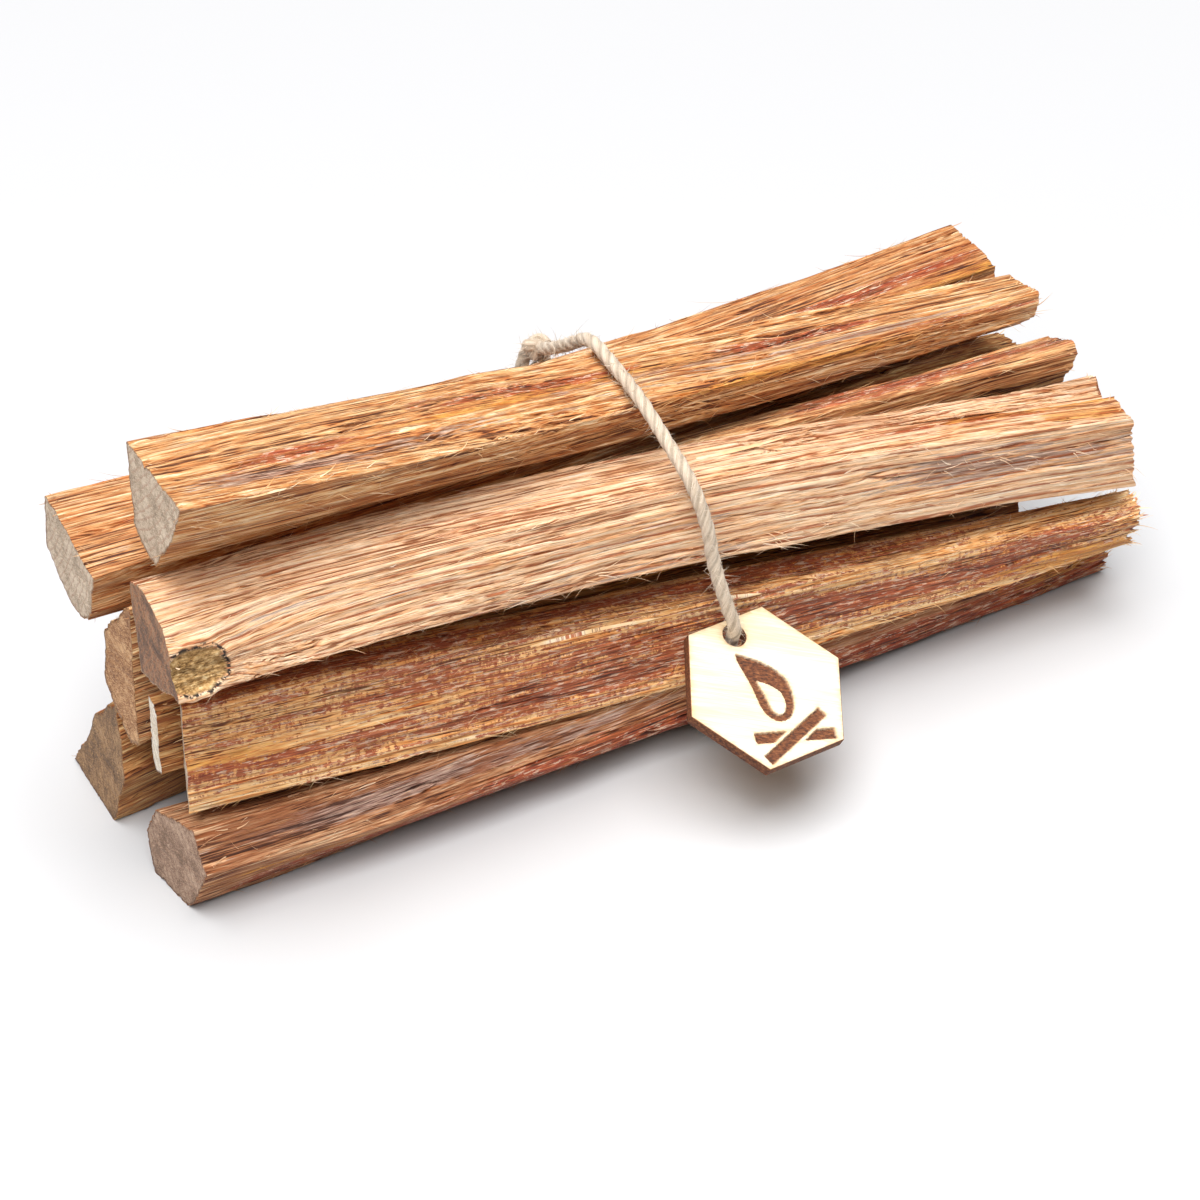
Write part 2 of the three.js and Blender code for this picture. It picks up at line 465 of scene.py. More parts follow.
@dataclass(frozen=True)
class SplitPine:
    """Split heartwood of pine, soaked with resin and left to dry.

    The split face is matt and stringy. Its annual rings show as fine orange lines along the
    grain, dry sapwood is straw coloured, resin is glassy red-brown or amber, and faces that
    were split long ago go a purplish grey.
    """

    name: str
    straw: tuple[str, str, str, str, str] = ("#94481a", "#c87a3a", "#e2a465", "#f0c68e", "#f8e0b6")
    line: str = "#8f4a1c"
    resin: tuple[str, str, str] = ("#6a1e0d", "#a03b1a", "#c86c3a")
    amber: tuple[str, str] = ("#b8641a", "#e2a040")
    grey: tuple[str, str, str] = ("#6b4a42", "#97776c", "#c4a89b")
    # painted shade, dark in the crevices of the fine relief
    crevice_shade: str = "#3a1a0c"
    bloom: str = "#e6cbb0"  # dried resin, pale and crumbly
    end: tuple[str, str, str] = ("#94806a", "#c0a88e", "#d9c6ae")
    bark: str = "#22150d"
    crust: tuple[str, str, str, str] = ("#6a4a24", "#a8804a", "#c8a068", "#e2c796")
    ring_width: float = 1.6  # one year's growth, in mm
    ring_strength: float = 0.75
    pith: tuple[float, float] = (38.0, -26.0)  # the trunk's centre, from the stick's own, in mm
    contrast: float = 0.052  # noise from one straw colour to the next; more is calmer
    grey_bias: float = 0.0
    resin_bias: float = 0.0
    saw_marks: float = 0.0  # how much a coarse saw's bands show across the resin
    saw_pitch: float = 0.78  # how wide a band is, in mm
    bump: float = 0.7  # how deep the fine relief is, in mm

    def build(self) -> bpy.types.Material:
        """Makes the material.

        Returns:
            The material. It reads the vertex vectors grain, stain (resin, grey, amber) and
            state (relief, end, knot).
        """
        p = Painter(self.name)
        figure = self._figure(p, p.vector("grain"))
        resin, grey, amber = p.split(p.vector("stain"))
        relief, end, knot = p.split(p.vector("state"))
        fibre, line = figure.fibre, figure.line
        wood = self._straw(p, figure, relief)
        wood = self._weather(p, figure, wood, grey)
        wood = self._soak(p, figure, wood, resin, amber)
        wood = p.mix(self._rings(p, figure.place, line, figure.flake), wood, self.line)
        # Painted shade: the crevice colour darkens where the fibre and line noises are low and
        # where the relief is hollow.
        low = p.weighed(0.0, (fibre, -0.4), (line, -0.6), (relief, -0.06))
        wood = p.mix(p.step(low, -0.42, -0.35, 0.8), wood, self.crevice_shade)
        wood = p.mix(end, wood, self._end_grain(p, figure.place))
        wood = self._knot(p, figure.place, wood, knot)
        soaked = p.step(p.sum("ADD", resin, amber), 0.3, 1.0)
        rough = p.weighed(0.5, (fibre, 0.3), (soaked, -0.26))
        height = p.sum("MULTIPLY", p.sum("ADD", line, fibre), p.step(end, 1.0, 0.0))
        return p.finish(wood, rough, p.bump(height, self.bump, sunken=True), IOR=PLANT_IOR)

    def _figure(self, p: Painter, grain: Socket) -> Figure:
        """Makes the noises, each far longer along the grain than across it.

        Args:
            p: The painter.
            grain: The place in the grain.

        Returns:
            The noises.
        """
        fibre = p.noise(grain, (6.0, 0.26, 0.26), 2.0, 0.6)
        line = p.noise(grain, (30.0, 0.44, 0.44), 2.0, 0.6)
        flake = p.noise(grain, (9.0, 0.75, 0.75), 3.0, 0.7)
        band = p.noise(grain, (48.0, 1.6, 1.6), 2.0, 0.5)
        zone = p.noise(grain, (60.0, 5.0, 5.0), 1.0, 0.5)
        broken = p.weighed(0.0, (flake, 0.6), (line, 0.55), (fibre, 0.3))
        return Figure(grain, fibre, line, flake, band, zone, broken)

    def _straw(self, p: Painter, figure: Figure, relief: Socket) -> Socket:
        """Paints dry wood: brown in hollows, straw and cream on ridges, partly painted shade and
        highlight.

        Args:
            p: The painter.
            figure: The wood's noises.
            relief: How high the surface stands, which paints shade in hollows and highlight on
                ridges.

        Returns:
            The colour.
        """
        mixed = ((figure.band, 0.12), (figure.line, 0.4), (figure.fibre, 0.3), (figure.flake, 0.22))
        # The relief term is painted shade in the hollows and a painted highlight on the ridges.
        tone = p.weighed(0.0, *mixed, (relief, 0.012))
        places = [0.515 + step * self.contrast for step in (-2, -1, 0, 1, 2)]
        return p.ramp(tone, places, self.straw)

    def _rings(self, p: Painter, grain: Socket, waver: Socket, gaps: Socket) -> Socket:
        """Finds the thin lines where one year's hard wood ends, by distance from the pith.

        Args:
            p: The painter.
            grain: The place in the grain.
            waver: Noise that makes the lines waver.
            gaps: Noise that breaks them.

        Returns:
            How much of a line there is.
        """
        away = p.vector_sum("SUBTRACT", grain, (0.0, *self.pith)).outputs[0]
        flat = p.vector_sum("MULTIPLY", away, (0.0, 1.0, 1.0)).outputs[0]
        years = p.sum("DIVIDE", p.vector_sum("LENGTH", flat).outputs["Value"], self.ring_width)
        year = p.sum("FRACT", p.weighed(years, (waver, 0.7)))
        edge = p.sum("MULTIPLY", p.step(year, 0.6, 0.86), p.step(year, 1.0, 0.94))
        return p.sum("MULTIPLY", edge, p.step(gaps, 0.36, 0.54, self.ring_strength))

    def _weather(self, p: Painter, figure: Figure, wood: Socket, grey: Socket) -> Socket:
        """Lays grey flecks on the faces that were split long ago.

        Args:
            p: The painter.
            figure: The wood's noises.
            wood: The colour so far.
            grey: How grey the place is.

        Returns:
            The colour.
        """
        amount = p.weighed(p.sum("ADD", grey, self.grey_bias), (figure.zone, 0.45))
        amount = p.sum("ADD", figure.broken, amount)
        dull = p.ramp(figure.fibre, (0.36, 0.5, 0.64), self.grey)
        return p.mix(p.step(amount, 1.16, 1.26, 0.75), wood, dull)

    def _soak(
        self, p: Painter, figure: Figure, wood: Socket, resin: Socket, amber: Socket
    ) -> Socket:
        """Soaks bands of the grain with resin, red where it is thick and amber where thin.

        Args:
            p: The painter.
            figure: The wood's noises.
            wood: The colour so far.
            resin: How much thick resin there is.
            amber: How much thin resin there is.

        Returns:
            The colour.
        """
        fibre, broken = figure.fibre, figure.broken
        shared = p.weighed(broken, (figure.band, 0.5))
        gold = p.step(p.sum("ADD", shared, amber), 1.13, 1.27, 0.8)
        wood = p.mix(gold, wood, p.ramp(fibre, (0.38, 0.62), self.amber))
        amount = p.sum("ADD", p.sum("ADD", shared, resin), self.resin_bias)
        if self.saw_marks:
            bars = p.noise(figure.place, (self.saw_pitch, 1.5, 1.5), 3.0, 0.6)
            for noise, middle in ((bars, 0.5), (broken, 0.725)):
                amount = p.weighed(amount, (p.sum("SUBTRACT", noise, middle), self.saw_marks))
        mask = p.step(amount, 1.21, 1.31, 0.92)
        tone = p.weighed(0.0, (broken, 0.345), (fibre, 0.5))
        wood = p.mix(mask, wood, p.ramp(tone, (0.41, 0.5, 0.59), self.resin))
        crumbs = p.weighed(p.noise(figure.place, (2.4, 0.5, 0.5), 3.0, 0.7), (fibre, 0.5))
        crumbs = p.step(crumbs, 0.79, 0.88, 0.8)
        return p.mix(p.sum("MULTIPLY", crumbs, mask), wood, self.bloom)

    def _end_grain(self, p: Painter, grain: Socket) -> Socket:
        """Paints the sawn end: dull, blotched, with faint arcs of rings and specks of fibres.

        Args:
            p: The painter.
            grain: The place in the grain.

        Returns:
            The colour.
        """
        speck = p.noise(grain, (0.6, 0.5, 0.14), 2.0, 0.6)
        blotch = p.noise(grain, (6.0, 3.4, 3.4), 3.0, 0.6)
        tone = p.weighed(0.0, (speck, 0.55), (blotch, 0.45))
        face = p.ramp(tone, (0.4, 0.49, 0.58), self.end)
        arcs = self._rings(p, grain, blotch, blotch)
        return p.mix(p.sum("MULTIPLY", arcs, 0.45), face, self.straw[0])

    def _knot(self, p: Painter, grain: Socket, wood: Socket, knot: Socket) -> Socket:
        """Paints a branch's stub: crusted yellow, with a broken black ring of bark round it.

        Args:
            p: The painter.
            grain: The place in the grain.
            wood: The colour so far.
            knot: How near the stub's middle the place is, from 0 to 1.

        Returns:
            The colour.
        """
        crumb = p.noise(grain, (1.1, 0.8, 0.8), 3.0, 0.65)
        ring = p.sum("MULTIPLY", p.step(knot, 0.34, 0.42), p.step(crumb, 0.42, 0.52))
        wood = p.mix(ring, wood, self.bark)
        crust = p.ramp(crumb, (0.34, 0.46, 0.55, 0.68), self.crust)
        return p.mix(p.step(knot, 0.44, 0.56), wood, crust)


@dataclass(frozen=True)
class JuteTwine:
    """Undyed laid jute: matt, with fine hairy fibres along each ply, and grey-beige painted shade
    in its hollows.
    """

    name: str = "jute_twine"
    fibres: tuple[str, str, str] = ("#8e7860", "#cdb9a1", "#e8d9c5")
    # painted shade in the grooves between the plies
    groove_shade: str = "#8a765e"

    def build(self) -> bpy.types.Material:
        """Makes the material.

        Returns:
            The material. It reads the vertex vector strand (along, round, nothing) and the
            vertex value depth.
        """
        p = Painter(self.name)
        strand = p.vector("strand")
        hair = p.noise(strand, (2.4, 0.16, 1.0), 3.0, 0.6)
        patch = p.noise(strand, (14.0, 3.0, 1.0), 2.0, 0.5)
        tone = p.weighed(0.0, (patch, 0.3), (hair, 0.7))
        colour = p.ramp(tone, (0.36, 0.48, 0.6), self.fibres)
        # Painted shade: up to 0.4 of the groove colour where the plies meet.
        colour = p.mix(p.step(p.value("depth"), 0.3, 1.0, 0.4), colour, self.groove_shade)
        return p.finish(colour, 0.92, p.bump(hair, 0.12), IOR=PLANT_IOR, Sheen_Weight=0.25)


@dataclass(frozen=True)
class BirchPly:
    """Thin birch plywood, cut and engraved by laser.

    The face is smooth and almost white. The beam leaves the cut edges and the engraving
    a burnt brown, and a faint tan halo of smoke beside them.
    """

    name: str = "birch_ply"
    face: tuple[str, str, str] = ("#e6d0a6", "#efdfbd", "#f4e9d0")
    burnt: tuple[str, str, str] = ("#3a1d0e", "#6b3a1c", "#8f5a34")
    smoke: str = "#c98f4e"

    def build(self) -> bpy.types.Material:
        """Makes the material.

        Returns:
            The material. It reads the vertex vector plate and the vertex values scorch and burn.
        """
        p = Painter(self.name)
        plate = p.vector("plate")
        pore = p.noise(plate, (9.0, 0.3, 1.0), 3.0, 0.6)
        figure = p.noise(plate, (30.0, 4.0, 2.0), 2.0, 0.5)
        tone = p.weighed(0.0, (figure, 0.5), (pore, 0.5))
        drift = p.step(p.noise(plate, (1.2, 0.8, 1.0)), 0.1, 0.7)
        smoke = p.sum("MULTIPLY", p.value("scorch"), drift)
        face = p.mix(smoke, p.ramp(tone, (0.38, 0.5, 0.6), self.face), self.smoke)
        char = p.noise(plate, (0.9, 0.35, 0.6), 3.0, 0.7)
        burn = p.value("burn")
        colour = p.mix(burn, face, p.ramp(char, (0.35, 0.52, 0.68), self.burnt))
        rough = p.weighed(0.5, (burn, 0.25))
        return p.finish(colour, rough, p.bump(p.sum("ADD", pore, char), 0.05), IOR=PLANT_IOR)


# ---- Sticks ---------------------------------------------------------------------------------


@dataclass
class SolidSurvey:
    """The shape of one CAD stick, as its outline at even steps along X.

    Each station is a plane across X. The solid's triangles cut it in short lines, rays from the
    section's middle meet those lines, and the outline through the meeting points is divided
    into equal lengths. Between stations an outline is a straight blend of its neighbours.
    """

    node: str
    around: int
    STATIONS = 150
    RAYS = 900
    START = math.radians(-60.0)  # the bearing of the first division, on the hidden side
    END_FACING = 0.7  # an end's triangles face along X by more than this
    INSET = 0.05  # from an end to the nearest station, in mm

    def __post_init__(self) -> None:
        """Reads the solid and slices it."""
        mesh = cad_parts[self.node].data
        points = np.empty(len(mesh.vertices) * 3)
        mesh.vertices.foreach_get("co", points)
        mesh.calc_loop_triangles()
        corners = np.empty(len(mesh.loop_triangles) * 3, dtype=np.int32)
        mesh.loop_triangles.foreach_get("vertices", corners)
        triangles = points.reshape(-1, 3)[corners].reshape(-1, 3, 3) / MM
        turned = np.cross(triangles[:, 1] - triangles[:, 0], triangles[:, 2] - triangles[:, 0])
        facing = unit(turned)[:, 0]
        near, far = triangles[facing < -self.END_FACING], triangles[facing > self.END_FACING]
        self.near, self.far = self._plane(near), self._plane(far)
        self.low, self.high = near[..., 0].max() + self.INSET, far[..., 0].min() - self.INSET
        sides = triangles[np.abs(facing) <= self.END_FACING]
        stations = np.linspace(self.low, self.high, self.STATIONS)
        self.outlines = np.stack([self._outline(sides, x) for x in stations])

    @staticmethod
    def _plane(faces: np.ndarray) -> np.ndarray:
        """Fits a plane x = a + b y + c z to an end face, by least squares.

        Args:
            faces: The face's triangles.

        Returns:
            The numbers a, b and c.
        """
        points = faces.reshape(-1, 3)
        across = np.column_stack([np.ones(len(points)), points[:, 1], points[:, 2]])
        return np.linalg.lstsq(across, points[:, 0], rcond=None)[0]

    def _outline(self, sides: np.ndarray, x: float) -> np.ndarray:
        """Finds the section's outline, divided into equal lengths.

        Args:
            sides: The triangles of the solid's sides.
            x: Where the section is.

        Returns:
            Y and Z of each division.
        """
        height = sides[:, :, 0] - x
        following = np.roll(height, -1, axis=1)
        crosses = (height < 0) != (following < 0)
        kept = crosses.sum(axis=1) == 2
        share = height[kept] / (height[kept] - following[kept] + 1e-12)
        start = sides[kept][:, :, 1:]
        along = start + share[..., None] * (np.roll(start, -1, axis=1) - start)
        pairs = along[crosses[kept]].reshape(-1, 2, 2)
        centre = 0.5 * (pairs.reshape(-1, 2).min(0) + pairs.reshape(-1, 2).max(0))
        angle = self.START + np.linspace(0.0, 2 * np.pi, self.RAYS, endpoint=False)
        ray = np.stack([np.cos(angle), np.sin(angle)], -1)[:, None]
        base, edge = pairs[None, :, 0] - centre, (pairs[:, 1] - pairs[:, 0])[None]
        cross = ray[..., 0] * edge[..., 1] - ray[..., 1] * edge[..., 0]
        cross = np.where(np.abs(cross) < 1e-9, 1e-9, cross)
        reach = (base[..., 0] * edge[..., 1] - base[..., 1] * edge[..., 0]) / cross
        place = (base[..., 0] * ray[..., 1] - base[..., 1] * ray[..., 0]) / cross
        met = (reach > 0) & (place > -1e-6) & (place < 1 + 1e-6)
        radius = np.where(met, reach, 0.0).max(axis=1)
        loop = centre + ray[:, 0] * radius[:, None]
        loop = np.concatenate([loop, loop[:1]])
        length = np.concatenate([[0], np.cumsum(np.linalg.norm(np.diff(loop, axis=0), axis=1))])
        wanted = np.linspace(0.0, length[-1], self.around, endpoint=False)
        return np.stack([np.interp(wanted, length, loop[:, i]) for i in (0, 1)], -1)

    def section(self, x: np.ndarray) -> np.ndarray:
        """Y and Z for each division round the stick.

        Past the first and last stations, where the end faces lean, the outline goes on in the
        direction that it has between the last two.

        Args:
            x: Rows of X, one for each division.

        Returns:
            Rows of Y and Z.
        """
        place = (x - self.low) / (self.high - self.low) * (self.STATIONS - 1)
        before = np.clip(np.floor(place).astype(int), 0, self.STATIONS - 2)
        share = (place - before)[..., None]
        division = np.arange(self.around)[None, :]
        first, second = self.outlines[before, division], self.outlines[before + 1, division]
        return first * (1.0 - share) + second * share


@dataclass
class Patch:
    """A stain on a stick: how far along X and at what bearing its middle is, and its size.

    A bearing is an angle round the stick: 0 is the back, 90 the top, 180 the front.
    """

    x: float
    bearing: float
    length: float
    width: float
    strength: float = 1.0


@dataclass
class Rebate:
    """A strip that split away: the X range and bearing range that it left, and its depth."""

    start: float
    stop: float
    low: float
    high: float
    depth: float


@dataclass
class Stub:
    """A knot: where along X and at what bearing it is, and its half length and half width."""

    x: float
    bearing: float
    length: float
    width: float


class Cut(Enum):
    """How an end of a stick was made."""

    SAWN = "sawn"
    SNAPPED = "snapped"
    FRAYED = "frayed"


RAGGED = {Cut.SAWN: 0.07, Cut.SNAPPED: 0.6, Cut.FRAYED: 2.2}  # how far its fibres differ, in mm


@dataclass
class Flap:
    """A strip that has split off along its length and is still held at one end.

    It starts at X start and bearing bearing, is held there, and its free end is at X stop.
    """

    start: float
    stop: float
    bearing: float
    width: float
    lift: float


@dataclass
class Strands:
    """Loose fibres: where on a stick each starts, which way it runs, and its size in mm."""

    row: np.ndarray
    column: np.ndarray
    way: np.ndarray  # 1 towards the far end, -1 towards the near one
    length: np.ndarray
    width: np.ndarray  # half its width at its middle
    lift: np.ndarray  # how far its tip stands off
    curl: np.ndarray  # how far its tip goes sideways

    @staticmethod
    def joined(groups: list["Strands"]) -> "Strands":
        """Puts several groups together.

        Args:
            groups: The groups.

        Returns:
            All of them, in order.
        """
        parts = zip(*(vars(group).values() for group in groups))
        return Strands(*(np.concatenate(part) for part in parts))


@dataclass
class Stick:
    """One split stick: its fine surface, its stains and the fibres that stand off it."""

    node: str
    slot: str
    wood: SplitPine
    seed: int
    around: int = 250
    along: int = 340
    ends: tuple[Cut, Cut] = (Cut.SAWN, Cut.SNAPPED)
    resin: list[Patch] = field(default_factory=list)
    grey: list[Patch] = field(default_factory=list)
    amber: list[Patch] = field(default_factory=list)
    swells: list[Patch] = field(default_factory=list)
    rebates: list[Rebate] = field(default_factory=list)
    stubs: list[Stub] = field(default_factory=list)
    flaps: list[Flap] = field(default_factory=list)
    tufts: list[Patch] = field(default_factory=list)  # strength is the number of fibres
    hairs: int = 800
    slivers: int = 26
    burrs: int = 70
    CAP_RINGS = 18
    LENGTH = 195.0  # about how long every stick is
    BARE_ROWS = 12  # at each end, where no hair starts
    STRAND_STEPS = 9
    ROOT = 0.12  # how deep a strand starts, in mm
    PALE_RELIEF = 3.5  # a loose fibre is as pale as a ridge this high would be, in painted highlight, free of painted crevice shade

    def __post_init__(self) -> None:
        """Surveys the solid and works out the surface."""
        self.noise = SlopeNoise(self.seed)
        self.rng = np.random.default_rng(self.seed)
        self.survey = SolidSurvey(self.node, self.around)
        self._base()
        self._values()
        self._displace()

    def _base(self) -> None:
        """The plain surface: rings that lean from the near end's plane to the far end's."""
        share = np.linspace(0.0, 1.0, self.along)[:, None]
        low, high = self.survey.low, self.survey.high
        x = (low * (1 - share) + high * share) * np.ones((1, self.around))
        for _ in range(4):
            yz = self.survey.section(x)
            near, far = (
                plane[0] + plane[1] * yz[row, :, 0] + plane[2] * yz[row, :, 1]
                for plane, row in ((self.survey.near, 0), (self.survey.far, -1))
            )
            x = near * (1 - share) + far * share
        yz = self.survey.section(x)
        yz = 0.2 * np.roll(yz, 1, axis=1) + 0.6 * yz + 0.2 * np.roll(yz, -1, axis=1)
        self.centre = yz.mean(axis=1, keepdims=True)
        self.points = np.concatenate([x[..., None], yz], axis=-1)
        across = np.roll(yz, -3, axis=1) - np.roll(yz, 3, axis=1)
        self.outward = unit(np.stack([0 * x, across[..., 1], -across[..., 0]], axis=-1))
        local = yz - self.centre
        self.bearing = np.degrees(np.arctan2(local[..., 1], local[..., 0])) % 360.0
        raw = np.stack([x, local[..., 0], local[..., 1]], -1)
        slow = np.stack([x, 0 * x + 7.0, 0 * x + 3.0], -1)
        drift = 0.9 * self.noise(slow, (70.0, 10.0, 10.0)) + 0.01 * x
        wave = 0.35 * self.noise(raw + 40.0, (26.0, 7.0, 7.0))
        self.grain = raw + np.stack([0 * x, drift + wave, wave - 0.6 * drift], -1)

    def _turn(self, bearing: float) -> np.ndarray:
        """How far each point is round the stick from a bearing, in degrees either way."""
        return (self.bearing - bearing + 180.0) % 360.0 - 180.0

    def _spread(self, patches: list[Patch]) -> np.ndarray:
        """Adds up a set of stains, each a bell along X times a bell in bearing.

        Args:
            patches: The stains.

        Returns:
            How strong they are at each point.
        """
        total = np.zeros(self.bearing.shape)
        for patch in patches:
            far = ((self.points[..., 0] - patch.x) / (0.5 * patch.length)) ** 2
            near = (self._turn(patch.bearing) / (0.5 * patch.width)) ** 2
            total += patch.strength * np.exp(-(far**2) - near)
        return total

    def _values(self) -> None:
        """Stains and the knot, and the grain's bend round the knot."""
        wander = self.noise(self.grain, (36.0, 3.0, 3.0))
        stains = [
            np.clip(self._spread(patches) * (1.0 + 0.5 * wander), 0.0, 1.2)
            for patches in (self.resin, self.grey, self.amber)
        ]
        self.stain = np.stack(stains, -1)
        self.knot = np.zeros(self.bearing.shape)
        radius = np.linalg.norm(self.points[..., 1:] - self.centre, axis=-1)
        for stub in self.stubs:
            round_it = np.radians(self._turn(stub.bearing)) * radius
            reach = np.hypot((self.points[..., 0] - stub.x) / stub.length, round_it / stub.width)
            reach += 0.16 * self.noise(self.points, (2.6, 1.8, 1.8))
            self.knot = np.maximum(self.knot, np.exp(-(reach**2)))
            push = 0.4 * stub.width * np.exp(-((reach / 1.9) ** 2)) * np.tanh(round_it)
            self.grain[..., 1:] -= push[..., None]

    def _displace(self) -> None:
        """Adds the relief of the split face along the outward direction.

        It is the sum of slow swells, terraces where the split jumped from one ring to the next,
        ridges, fibres and narrow checks, each a noise that is long along the grain.
        """
        grain, noise = self.grain, self.noise
        swell = noise(grain, (55.0, 12.0, 12.0))
        levels = 2.4 * noise(grain + 31.0, (110.0, 4.2, 4.2))
        terrace = np.floor(levels) + smooth(levels - np.floor(levels), 0.72, 1.0)
        ridge = noise(grain + 57.0, (42.0, 1.15, 1.15))
        fibre = noise(grain + 83.0, (15.0, 0.6, 0.6))
        check = np.abs(noise(grain + 11.0, (90.0, 2.6, 2.6)))
        open_check = smooth(noise(grain + 5.0, (38.0, 6.0, 6.0)), 0.02, 0.3)
        groove = np.clip(1.0 - check / 0.05, 0.0, 1.0) * open_check
        detail = 0.3 * terrace + 0.22 * ridge + 0.14 * fibre - 0.8 * groove
        height = detail + 0.4 * swell + self._spread(self.swells)
        for rebate in self.rebates:
            edge = 2.2 * noise(grain + 19.0, (12.0, 2.0, 2.0))
            inside = smooth(self.points[..., 0] + 3 * edge, rebate.start - 9.0, rebate.start + 4.0)
            inside *= smooth(-self.points[..., 0], -rebate.stop, -rebate.stop + 1.0)
            inside *= smooth(self.bearing + edge, rebate.low - 1.2, rebate.low + 1.2)
            inside *= smooth(-self.bearing - edge, -rebate.high - 1.2, -rebate.high + 1.2)
            height -= (rebate.depth + 0.6 * detail) * inside
            self.stain[..., 2] += 0.5 * inside * (self.bearing > 0.5 * (rebate.low + rebate.high))
        self.grain = self.grain + (height[..., None] - detail[..., None]) * self.outward
        crumb = noise(self.points, (1.5, 1.0, 1.0))
        rim = smooth(self.knot, 0.2, 0.36) - smooth(self.knot, 0.4, 0.6)
        height -= smooth(self.knot, 0.4, 0.7) * (0.9 - 0.8 * crumb) - 0.5 * rim
        # The relief's height also paints shade in the hollows and a highlight on the ridges of the
        # wood's colour.
        self.relief = np.clip((detail - 0.3 * noise(grain + 31.0, (110.0, 9.0, 9.0))) / 0.42, -2, 2)
        end = np.linspace(0.0, 1.0, self.along)[:, None]
        for side, cut in enumerate(self.ends):
            reach = smooth(end if side else 1.0 - end, 0.95 - 0.03 * RAGGED[cut], 1.0)
            fringe = noise(grain * [0.2, 1, 1], (9.0, 0.9, 0.9)) + 0.2
            self.points[..., 0] += RAGGED[cut] * fringe * reach * (1.0 if side else -1.0)
        self.points = self.points + height[..., None] * self.outward
        self.points[..., 2] = np.maximum(self.points[..., 2], FLOOR_GAP)

    def _cap(self, row: int, cut: Cut) -> tuple[np.ndarray, np.ndarray]:
        """The rings that close one end: each is the end's outline drawn in towards its middle.

        Args:
            row: 0 for the near end or -1 for the far one.
            cut: How the end was made.

        Returns:
            The points and the grain's coordinates, ring by ring from the outside in.
        """
        rim, grain = self.points[row], self.grain[row]
        inward = (1.0 - np.arange(1, self.CAP_RINGS + 1) / (self.CAP_RINGS + 0.5))[:, None, None]
        middle = rim.mean(axis=0)
        points = middle + (rim - middle) * inward
        spread = grain.mean(axis=0) + (grain - grain.mean(axis=0)) * inward
        plane = self.survey.near if row == 0 else self.survey.far
        flat = plane[0] + plane[1] * points[..., 1] + plane[2] * points[..., 2]
        out = -1.0 if row == 0 else 1.0
        fine = self.noise(spread * [0.0, 1, 1] + 5.0, (1.0, 0.7, 0.7))
        rough = self.noise(spread * [0.0, 1, 1] + 9.0, (1.0, 2.6, 2.6))
        saw = np.sin(points[..., 2] * 4.2 + 0.5 * points[..., 1] + 2.0 * rough)
        relief = RAGGED[cut] * (0.5 * fine + 0.9 * rough) + 0.04 * saw
        blend = smooth(1.0 - inward[..., 0], 0.0, 0.16)
        points[..., 0] = (1 - blend) * points[..., 0] + blend * (flat + out * relief)
        spread[..., 0] = points[..., 0]
        return points, spread

    def surface(self) -> Shape:
        """The whole closed surface.

        Returns:
            The sides and both ends, with the vectors that the wood's finish reads.
        """
        near, near_grain = self._cap(0, self.ends[0])
        far, far_grain = self._cap(-1, self.ends[1])
        rings = [near[::-1], self.points, far]
        grains = [near_grain[::-1], self.grain, far_grain]
        shape = (self.CAP_RINGS, self.around, 3)
        tail = 1.0 if self.ends[1] is Cut.SAWN else 0.35
        first, last = np.zeros(shape), np.zeros(shape)
        first[..., 1], last[..., 1] = 1.0, tail
        state = np.stack([self.relief, np.zeros_like(self.relief), self.knot], -1)
        soaked = [np.zeros(shape), self.stain, 0.4 * np.ones(shape) * (tail < 1.0)]
        layers = {
            "grain": np.concatenate(grains),
            "state": np.concatenate([first, state, last]),
            "stain": np.concatenate(soaked),
        }
        rows = np.concatenate(rings)
        count, ring = len(rows), self.around
        vertices = np.concatenate([rows.reshape(-1, 3), [rows[0].mean(0), rows[-1].mean(0)]])
        values = {
            key: np.concatenate([value.reshape(-1, 3), [value[0].mean(0), value[-1].mean(0)]])
            for key, value in layers.items()
        }
        step = np.arange(ring)
        beside = (step + 1) % ring
        total, end = count * ring, (count - 1) * ring
        fans = [
            np.stack([np.full(ring, total), step, beside], -1),
            np.stack([np.full(ring, total + 1), beside + end, step + end], -1),
        ]
        triangles = np.concatenate([lattice(count, ring), *fans])
        return Shape(vertices, triangles[:, ::-1], values)

    def _hairs(self) -> Strands:
        """Hairs and slivers, more of them at sharp edges and at steps in the relief.

        Returns:
            The hairs, then the slivers, which are longer and wider.
        """
        rng = self.rng
        slope = np.abs(np.roll(self.relief, 1, 1) - np.roll(self.relief, -1, 1))
        corner = np.linalg.norm(np.roll(self.outward, 4, 1) - np.roll(self.outward, -4, 1), axis=-1)
        odds = 0.1 + np.clip(slope, 0, 1.5) + 2.0 * corner**2
        odds = odds[self.BARE_ROWS : -self.BARE_ROWS].ravel()
        count = self.hairs + self.slivers
        picked = rng.choice(odds.size, count, p=odds / odds.sum()) + self.BARE_ROWS * self.around
        row, column = np.divmod(picked, self.around)
        wide = np.arange(count) >= self.hairs
        length = np.where(wide, rng.uniform(4, 13, count), rng.gamma(2.0, 1.1, count) + 0.8)
        width = np.where(wide, rng.uniform(0.12, 0.3, count), rng.uniform(0.035, 0.08, count))
        lift = np.where(wide, rng.uniform(0.1, 0.6, count), rng.gamma(1.6, 0.45, count))
        curl = np.where(wide, rng.normal(0, 0.25, count), rng.normal(0, 0.8, count))
        way = rng.choice([-1.0, 1.0], count)
        room = np.where(way < 0, row, self.along - row) / self.along * self.LENGTH - 2.0
        length = np.minimum(length, np.maximum(room, 0.8))
        return Strands(row, column, way, length, width, lift, curl)

